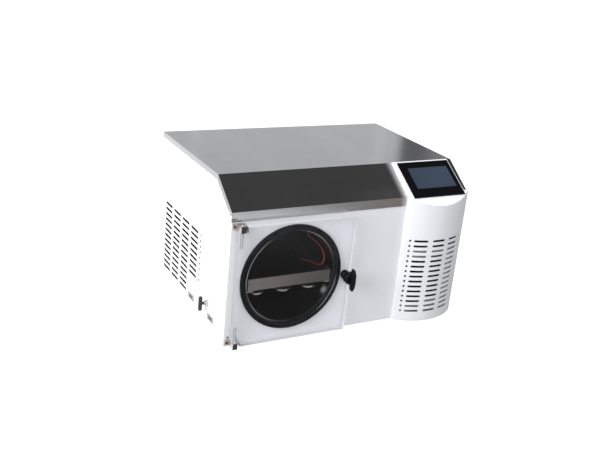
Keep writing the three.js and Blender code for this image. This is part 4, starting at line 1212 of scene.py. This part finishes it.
@dataclass
class Studio:
    """Camera, lights, sky and floor; bearings in radians from +Y to +X, heights from -1 to 1."""

    camera_place: Point = (-0.98195, -1.6616, 0.9165)
    azimuth: float = 30.69
    elevation: float = 19.80
    roll: float = 5.96
    lens: float = 51.386
    sensor: float = 36.0
    shift: Pair = (-0.0179, -0.0204)
    softboxes: tuple[Softbox, ...] = (
        Softbox("side_softbox", (-3.4, -1.1, 1.9), (0, 0, 0.2), (2.4, 2.0), 150.0),
        Softbox("front_softbox", (-1.2, -4.2, 2.0), (0, 0, 0.2), (2.4, 1.4), 54.0),
        Softbox("overhead", (0.2, 0.3, 3.6), (0.2, 0.3, 0), (4.0, 4.0), 95.0, mirrored=False),
    )
    wall_height: Pair = (0.83, 0.42)
    behind: Span = ((-1.6, -0.6), (0.64, 0.628))
    right: Span = ((0.652, 0.685), (1.5, 1.0))
    streaks: tuple[Span, Span] = (((0.38, 0.386), (0.398, 0.392)), ((0.6, 0.606), (0.618, 0.612)))
    window: Span = ((2.2, 2.35), (2.95, 2.85))
    window_height: Span = ((-0.02, 0.05), (0.34, 0.26))
    horizon: Pair = (0.02, -0.04)
    left: Span = ((-1.6, -0.9), (0.2, -0.2))
    bench: Span = ((2.52, 2.66), (2.84, 2.76))
    bench_height: Span = ((-0.4, -0.37), (-0.325, -0.345))
    room_level: float = 0.115
    wall_level: float = 0.055
    behind_level: float = 0.525
    streak_level: float = 0.06
    right_level: float = 0.15
    window_level: float = 0.8
    ground_level: float = 0.5
    left_level: float = 0.8
    bench_level: float = 0.62
    sky_tint: Colour = (1.0, 1.0, 1.02)
    floor_reach: float = 30.0
    floor_colour: Colour = (0.3, 0.3, 0.3)
    floor_glow: float = 0.94

    def set_camera(self) -> None:
        """Places the camera at the chosen view."""
        data = bpy.data.cameras.new("view")
        data.lens, data.sensor_width = self.lens, self.sensor
        data.shift_x, data.shift_y = self.shift
        camera = bpy.data.objects.new("view", data)
        a, e = math.radians(self.azimuth), math.radians(self.elevation)
        forward = Vector((math.sin(a) * math.cos(e), math.cos(a) * math.cos(e), -math.sin(e)))
        level = Vector((math.cos(a), -math.sin(a), 0.0))
        right = Matrix.Rotation(-math.radians(self.roll), 3, forward) @ level
        up = right.cross(forward)
        turn = Matrix((right, up, -forward)).transposed().to_4x4()
        camera.matrix_world = Matrix.Translation(self.camera_place) @ turn
        bpy.context.scene.collection.objects.link(camera)
        bpy.context.scene.camera = camera

    def hang_sky(self) -> None:
        """Makes the room: a pale wall behind, a bright window, a dim ceiling and the ground."""
        world = bpy.data.worlds.new("room")
        bpy.context.scene.world = world
        world.use_nodes = True
        world.cycles.sampling_method = "NONE"
        graph = Graph(world.node_tree)
        ray = graph.node("ShaderNodeTexCoord", out="Generated")
        x, y, height = (graph.along(axis, ray) for axis in Axis)
        bearing = graph.node("ShaderNodeMath", {"operation": "ARCTAN2"}, {0: x, 1: y})
        streak = bearing.between(self.streaks[0]) + bearing.between(self.streaks[1])
        behind = bearing.between(self.behind) * (self.behind_level + streak * self.streak_level)
        walls = self.wall_level + behind + bearing.between(self.right) * self.right_level
        window = bearing.between(self.window) * height.between(self.window_height)
        bench = bearing.between(self.bench) * height.between(self.bench_height)
        above = self.room_level + height.rising(*self.wall_height) * walls
        above = above + window * self.window_level
        below = self.ground_level + bearing.between(self.left) * self.left_level
        below = below + bench * self.bench_level
        ground = height.rising(*self.horizon)
        colour = graph.tinted(self.sky_tint, above * (1 - ground) + ground * below)
        surface = graph.node("ShaderNodeBackground", inputs={"Color": colour, "Strength": 1.0})
        graph.node("ShaderNodeOutputWorld", inputs={"Surface": surface})

    def lay_floor(self) -> None:
        """Lays a plain pale floor; the room's lower half stands in for its bounced light."""
        blank = Blank()
        reach = self.floor_reach
        corners = [(-reach, -reach), (reach, -reach), (reach, reach), (-reach, reach)]
        blank.bm.faces.new(blank.corners(Vector((x, y, 0.0)) for x, y in corners))
        floor = bpy.data.objects.new("floor", blank.mesh("floor"))
        material = bpy.data.materials.new("pale_floor")
        material.use_nodes = True
        graph = Graph(material.node_tree)
        graph.output(
            graph.principled(
                Base_Color=self.floor_colour,
                Roughness=0.9,
                Emission_Color=(1.0, 1.0, 1.0),
                Emission_Strength=self.floor_glow,
            )
        )
        floor.data.materials.append(material)
        bpy.context.scene.collection.objects.link(floor)
        floor.visible_diffuse = floor.visible_glossy = floor.visible_transmission = False

    def build(self) -> None:
        """Sets up everything round the object."""
        bpy.context.scene.view_settings.view_transform = "Standard"
        self.set_camera()
        for softbox in self.softboxes:
            softbox.hang()
        self.hang_sky()
        self.lay_floor()


# ----------------------------------------------------------------------------------- sub-assemblies


@dataclass
class ProbeLead:
    """The temperature probe's red lead, which hangs free inside the chamber."""

    radius: float = 1.1
    route: tuple[Point, ...] = (
        (229.1, 85, 206.9), (226.9, 85, 205.4), (225, 83.2, 203.9), (225.2, 78.6, 202.8),
        (227.8, 72.2, 201.8), (231, 64.8, 199.9), (234.2, 56.6, 196.9), (237.2, 47.6, 192.4),
        (239.4, 38.8, 186.2), (240.6, 31.2, 178.4), (240.4, 26, 169.8), (238.6, 24.2, 161.6),
        (235.8, 27.2, 154.9), (233.4, 34, 150.6), (232, 43, 148.2), (231.4, 54, 146.4),
        (231.4, 66, 144.2), (232, 78, 141.2), (233, 90, 137.4), (234.2, 101, 133.4),
        (235.2, 110.4, 130.2), (235.8, 119, 128.4), (236, 127, 128),
    )

    def build(self) -> None:
        """Lays the lead along its route and dresses the tip and the gland."""
        points = [at(*p) for p in self.route]
        lead = tube("probe_lead", "probe_wire", points, self.radius, RED_SILICONE, limp=True)
        tip = refined("probe_tip", BrightSteel(), edge=0.2)
        refined("probe_gland", BlackPlastic(), edge=0.3)


@dataclass
class Casing:
    """Side panels, front, rear, base, feet and the folded steel cover."""

    width: float = 600.0
    depth: float = 410.0
    rear_screw_inset: float = 9.0
    rear_screw_rows: tuple[float, ...] = (14.0, 120.0, 230.0, 340.0)
    sheet_edge: float = 0.35
    vent_margin: float = 60.0
    vent_low: Pair = (120.0, 15.0)
    vent_high: Pair = (385.0, 205.0)

    def build(self) -> None:
        """Dresses the casing and adds its rear screws."""
        right = self.width + self.vent_margin
        slots = (at(-self.vent_margin, *self.vent_low), at(right, *self.vent_high))
        panels = (
            ("left_side_panel", (-1, 0, 0), slots),
            ("right_side_panel", (1, 0, 0), slots),
            ("front_panel", (0, -1, 0), None),
            ("rear_panel", (0, 1, 0), None),
        )
        for node, outward, region in panels:
            paint_unseen_shade(refined(node, PowderCoat(), edge=self.sheet_edge), outward, region)
        refined("top_cover", SatinSheet(), edge=0.3)
        refined("base_pan", Galvanised(), edge=0.3)
        for corner in ("front_left", "rear_left", "front_right", "rear_right"):
            refined(f"foot_{corner}", Rubber(), edge=0.8, steps=3)
        inset, rows = self.rear_screw_inset, self.rear_screw_rows
        ends = (rows[0], rows[-1])
        columns = ((inset, rows), (self.width / 2, ends), (self.width - inset, rows))
        places = [facing((0, 1, 0), at(x, self.depth, z)) for x, some in columns for z in some]
        PanHead().row("rear_panel_screws", places, BrightSteel())


@dataclass
class Tower:
    """The curved air tower with its sloping head and screen."""

    slots_low: Point = (428.8, -60.0, 10.0)
    slots_high: Point = (541.0, 10.0, 210.0)
    rail_left: float = 442.0
    rail_right: float = 588.0
    rail_levels: tuple[Pair, Pair] = ((150.0, 174.0), (12.0, 36.0))
    upright_left: float = 556.0
    rail_y: Pair = (-5.0, -3.8)

    def build_rails(self) -> None:
        """Adds the pale rails and the upright that stand behind some of the air slots."""
        blank = Blank()
        front, back = self.rail_y
        for low, high in self.rail_levels:
            blank.slab(at(self.rail_left, front, low), at(self.upright_left, back, high))
        top, foot = self.rail_levels[0][1], self.rail_levels[1][0]
        blank.slab(at(self.upright_left, front, foot), at(self.rail_right, back, top))
        blank.piece("tower_rails", "root", PowderCoat())

    def build(self) -> None:
        """Dresses the tower, its head and its screen."""
        front = refined("tower_front", PowderCoat(), edge=0.35)
        paint_unseen_shade(front, (0, -1, 0), (at(*self.slots_low), at(*self.slots_high)))
        refined("tower_top", PowderCoat(), edge=0.4)
        refined("tower_floor", Galvanised(), edge=0.3)
        refined("screen_bezel", BezelGloss(), edge=0.5)
        refined("screen_panel", DimScreen(), edge=0.15)
        dressed("display_module", Galvanised())
        dressed("control_board", SolderResist())
        self.build_rails()


@dataclass
class Chamber:
    """The vacuum chamber with its ring, tray, rails and cooling coil."""

    gasket_width: float = 12.8
    highlight_band: Pair = (0.8, 2.4)  # outwards from the gasket's inner edge
    highlight_turn: float = -0.2
    coil_radius: float = 4.0
    coil_pitch: float = 32.5
    coil_runs: int = 6
    axis_x: float = 145.5
    coil_z: float = 105.5
    front_y: float = 19.0
    back_y: float = 262.0
    exit_y: float = 299.0
    bend_steps: int = 8

    def coil_route(self) -> list[Vector]:
        """Works out the middle line of the coil: straight runs and half-round bends."""
        bend = self.coil_pitch / 2
        left = self.axis_x - (self.coil_runs - 1) * bend
        in_front = (self.front_y + self.coil_radius + bend, -1.0)
        behind = (self.back_y - self.coil_radius - bend, 1.0)
        route = [at(left, self.exit_y, self.coil_z)]
        for run in range(self.coil_runs - 1):
            x = left + (run + 0.5) * self.coil_pitch
            y, side = behind if run % 2 else in_front
            for step in range(self.bend_steps + 1):
                angle = math.pi * step / self.bend_steps
                dx, dy = -bend * math.cos(angle), side * bend * math.sin(angle)
                route.append(at(x + dx, y + dy, self.coil_z))
        right = left + (self.coil_runs - 1) * self.coil_pitch
        return route + [at(right, self.exit_y, self.coil_z)]

    def dress_gasket(self) -> None:
        """Dresses the ring gasket, with a painted highlight on part of its inner edge."""
        gasket = refined("door_gasket", Rubber(), edge=0.0)
        low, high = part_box("door_gasket")
        middle = (low + high) / 2
        inner = (high.x - low.x) / 2 - self.gasket_width * MM
        start, end = self.highlight_band
        # faces that get the painted highlight
        rubbed = []
        for face in gasket.data.polygons:
            reach = math.hypot(face.center.x - middle.x, face.center.z - middle.z) - inner
            if start * MM < reach < end * MM and face.normal.y < self.highlight_turn:
                rubbed.append(face)
        faced(gasket, RubberEdgeHighlight(), rubbed)

    def build(self) -> None:
        """Dresses the chamber and bends the coil."""
        steel = BrightSteel()
        refined("chamber_barrel", ChamberSteel(), edge=0.3)
        self.dress_gasket()
        refined("tray", TraySteel(), edge=0.35)
        bars = ("tray_rail_left", "tray_rail_right", "coil_bar_front", "coil_bar_rear")
        refine_all(bars, steel, edge=0.3)
        tube("cooling_coil", "evaporator_coil", self.coil_route(), self.coil_radius, steel)
        for node in ("chamber_saddle_front", "chamber_saddle_rear"):
            dressed(node, Galvanised())


@dataclass
class Door:
    """The clear door on its hinges, with the wing knob that holds it shut."""

    knob_x: float = 281.0
    knob_z: float = 137.0
    hub_back: float = -24.5
    hub_length: float = 13.5
    hub_radius: float = 14.0
    hub_chamfer: float = 0.8
    hub_rounding: tuple[Pair, ...] = ((0.0, 3.2), (0.5, 1.6), (1.6, 0.5), (3.2, 0.0))
    hub_sides: int = 40
    wing_front: float = -52.0
    wing_half: float = 26.0
    wing_middle_width: float = 5.2
    wing_end_width: float = 2.6
    wing_taper: float = 2.4
    wing_squareness: float = 0.6
    wing_root: float = 2.0
    wing_bow: float = 5.0
    undercut: float = 3.0
    undercut_from: float = 0.5
    tip_from: float = 0.82
    tip_square: float = 0.0325
    tip_share: float = 0.35
    sections: int = 21
    ring: int = 20
    cap_depth: float = 2.0
    flange: float = 3.1
    screw_inset: float = 4.0
    screw_reach: float = 3.6
    jamb_screws: tuple[Pair, ...] = ((8.6, 20.0), (24.6, 20.0))

    def wing_section(self, share: float) -> list[Vector]:
        """One level section of the knob's wing, a box with round corners.

        Args:
            share: The height from -1 at the foot to 1 at the top.

        Returns:
            The section's points, in the frame.
        """
        off = abs(share)
        taper = 1.0 - off**self.wing_taper
        half = self.wing_end_width + (self.wing_middle_width - self.wing_end_width) * taper
        rounded = math.sqrt(1.0 - max(0.0, off - self.tip_from) ** 2 / self.tip_square)
        half *= self.tip_share + (1.0 - self.tip_share) * rounded
        back = self.hub_back - self.hub_length + self.wing_root
        back -= self.undercut * max(0.0, off - self.undercut_from)
        front = self.wing_front + self.wing_bow * off**3
        middle, reach = (front + back) / 2, (back - front) / 2
        points = []
        for i in range(self.ring):
            angle = 2 * math.pi * i / self.ring
            c, s = math.cos(angle), math.sin(angle)
            x = self.knob_x + half * math.copysign(abs(c) ** self.wing_squareness, c)
            y = middle + reach * math.copysign(abs(s) ** self.wing_squareness, s)
            points.append(at(x, y, self.knob_z + share * self.wing_half))
        return points

    def build_knob(self) -> None:
        """Moulds the knob: a round hub and a boat-shaped wing."""
        blank = Blank()
        r, end, chamfer = self.hub_radius, self.hub_length, self.hub_chamfer
        profile = [(0.0, 0.0), (r - chamfer, 0.0), (r, chamfer)]
        profile += [(r - inward, end - down) for inward, down in self.hub_rounding]
        profile.append((0.0, end))
        place = facing((0, -1, 0), at(self.knob_x, self.hub_back, self.knob_z))
        blank.turned(profile, place, self.hub_sides)
        steps = self.sections - 1
        blank.loft([self.wing_section(2 * i / steps - 1) for i in range(self.sections)])
        knob = blank.piece("latch_knob_made", "latch", BlackPlastic())
        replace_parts(knob, "latch_knob")

    def dress_hinge(self, level: str) -> None:
        """Dresses a hinge's pin and its cast arm, with a dark end cap and screw heads.

        Args:
            level: Which hinge it is, upper or lower.
        """
        node = f"hinge_bracket_{level}"
        arm = refined(node, HingeSteel(), edge=0.4)
        low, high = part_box(node)
        seats = (low.x + self.screw_inset * MM, high.x - self.screw_inset * MM)
        dark = []
        for face in arm.data.polygons:
            x, y = face.center.x, face.center.y
            cap = face.normal.y < -0.8 and y < low.y + self.cap_depth * MM
            near = min(abs(x - seat) for seat in seats) < self.screw_reach * MM
            if cap or (near and y < high.y - self.flange * MM):
                dark.append(face)
        faced(arm, DARK_STEEL, dark)
        refined(f"hinge_pin_{level}", PIN_STEEL_HIGHLIGHT, edge=0.3)

    def build(self) -> None:
        """Dresses the door, its hinges and its latch."""
        plate = refined("door_plate", ClearAcrylic(), edge=0.8, steps=1)
        faces = plate.data.polygons
        faced(plate, AcrylicEdge(), [face for face in faces if abs(face.normal.y) < 0.8])
        faced(plate, ACRYLIC_SIDE_SHADED, [face for face in faces if face.normal.x < -0.6])
        for level in ("upper", "lower"):
            self.dress_hinge(level)
        refined("latch_stud", BrightSteel(), edge=0.3)
        refine_all(("latch_collar", "latch_bush"), BLACK_STEEL, edge=0.3)
        places = [facing((0, -1, 0), at(x, 0, z)) for x, z in self.jamb_screws]
        PanHead(radius=2.2, height=1.4).row("jamb_screws", places, DARK_STEEL)
        self.build_knob()


@dataclass
class ValveSide:
    """The vent valve, its pipe and the blank plates on the left side."""

    field_inset: float = 0.24  # of the plate
    field_proud: float = 0.1

    def build(self) -> None:
        """Dresses the valve and the plates."""
        steel = BrightSteel()
        refined("vent_valve_body", steel, edge=0.3)
        refined("vent_valve_nut", steel, edge=0.4)
        refined("vent_valve_handle", HANDLE_PLASTIC, edge=0.5)
        refined("vent_port", steel, edge=0.3)
        refined("vent_pipe", BareCopper(), edge=0.0)
        fields, proud = Blank(), self.field_proud * MM
        for node in ("label_rear", "label_front"):
            refined(node, BLANK_LABEL, edge=0.15)
            low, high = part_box(node)
            inset = (high - low) * self.field_inset
            start = Vector((low.x - proud, low.y + inset.y, low.z + inset.z))
            fields.slab(start, Vector((low.x + proud, high.y - inset.y, high.z - inset.z)))
        fields.piece("label_fields", "root", DARK_FIELD)


@dataclass
class Refrigeration:
    """Compressor, condenser, fan and pipes behind the panels."""

    fin_pitch: float = 2.4
    fin_thickness: float = 0.5
    fin_inset: float = 1.0
    tube_rows: int = 7
    tube_radius: float = 3.5
    tube_sides: int = 12

    def build_fins(self) -> None:
        """Stacks the condenser's fins and passes its tubes through them."""
        low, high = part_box("condenser_core")
        thick, pitch, inset = (n * MM for n in (self.fin_thickness, self.fin_pitch, self.fin_inset))
        blank = Blank()
        for i in range(int((high.x - low.x - thick) / pitch) + 1):
            x = low.x + i * pitch
            corner = Vector((x + thick, high.y - inset, high.z))
            blank.slab(Vector((x, low.y + inset, low.z)), corner)
        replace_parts(blank.piece("condenser_fins", "root", SHADED_FINS), "condenser_core")
        tubes, radius, length = Blank(), self.tube_radius, (high.x - low.x) / MM
        for row in range(self.tube_rows):
            z = low.z + (high.z - low.z) * (row + 0.5) / self.tube_rows
            place = facing((1, 0, 0), Vector((low.x, (low.y + high.y) / 2, z)))
            profile = [(0, 0), (radius, 0), (radius, length), (0, length)]
            tubes.turned(profile, place, self.tube_sides)
        tubes.piece("condenser_tubes", "root", BareCopper())

    def build(self) -> None:
        """Dresses the cooling circuit."""
        self.build_fins()
        dressed("condenser_frame", SHADED_GALVANISED)
        refined("compressor", ENAMEL, edge=0.8)
        refined("fan_rotor", BlackPlastic(), edge=0.3)
        refined("fan_motor", Galvanised(), edge=0.5)
        lines = ("filter_drier", "discharge_line", "liquid_line", "expansion_line", "suction_line")
        refine_all(lines, BareCopper(), edge=0.0)


@dataclass
class RearServices:
    """Pump port, mains inlet, rocker and power supply."""

    def build(self) -> None:
        """Dresses what is reached from behind."""
        refined("pump_port", BrightSteel(), edge=0.4)
        refine_all(("power_inlet", "power_rocker"), BlackPlastic(), edge=0.4)
        refined("power_supply", Galvanised(), edge=0.5)


def main() -> None:
    """Builds the studio and every sub-assembly in order."""
    logging.basicConfig(level=logging.INFO, format="%(name)s: %(message)s")
    builders: list[Callable[[], None]] = [
        Studio().build,
        ProbeLead().build,
        Casing().build,
        Tower().build,
        Chamber().build,
        Door().build,
        ValveSide().build,
        Refrigeration().build,
        RearServices().build,
    ]
    for build in builders:
        build()


if __name__ == "__main__":
    main()
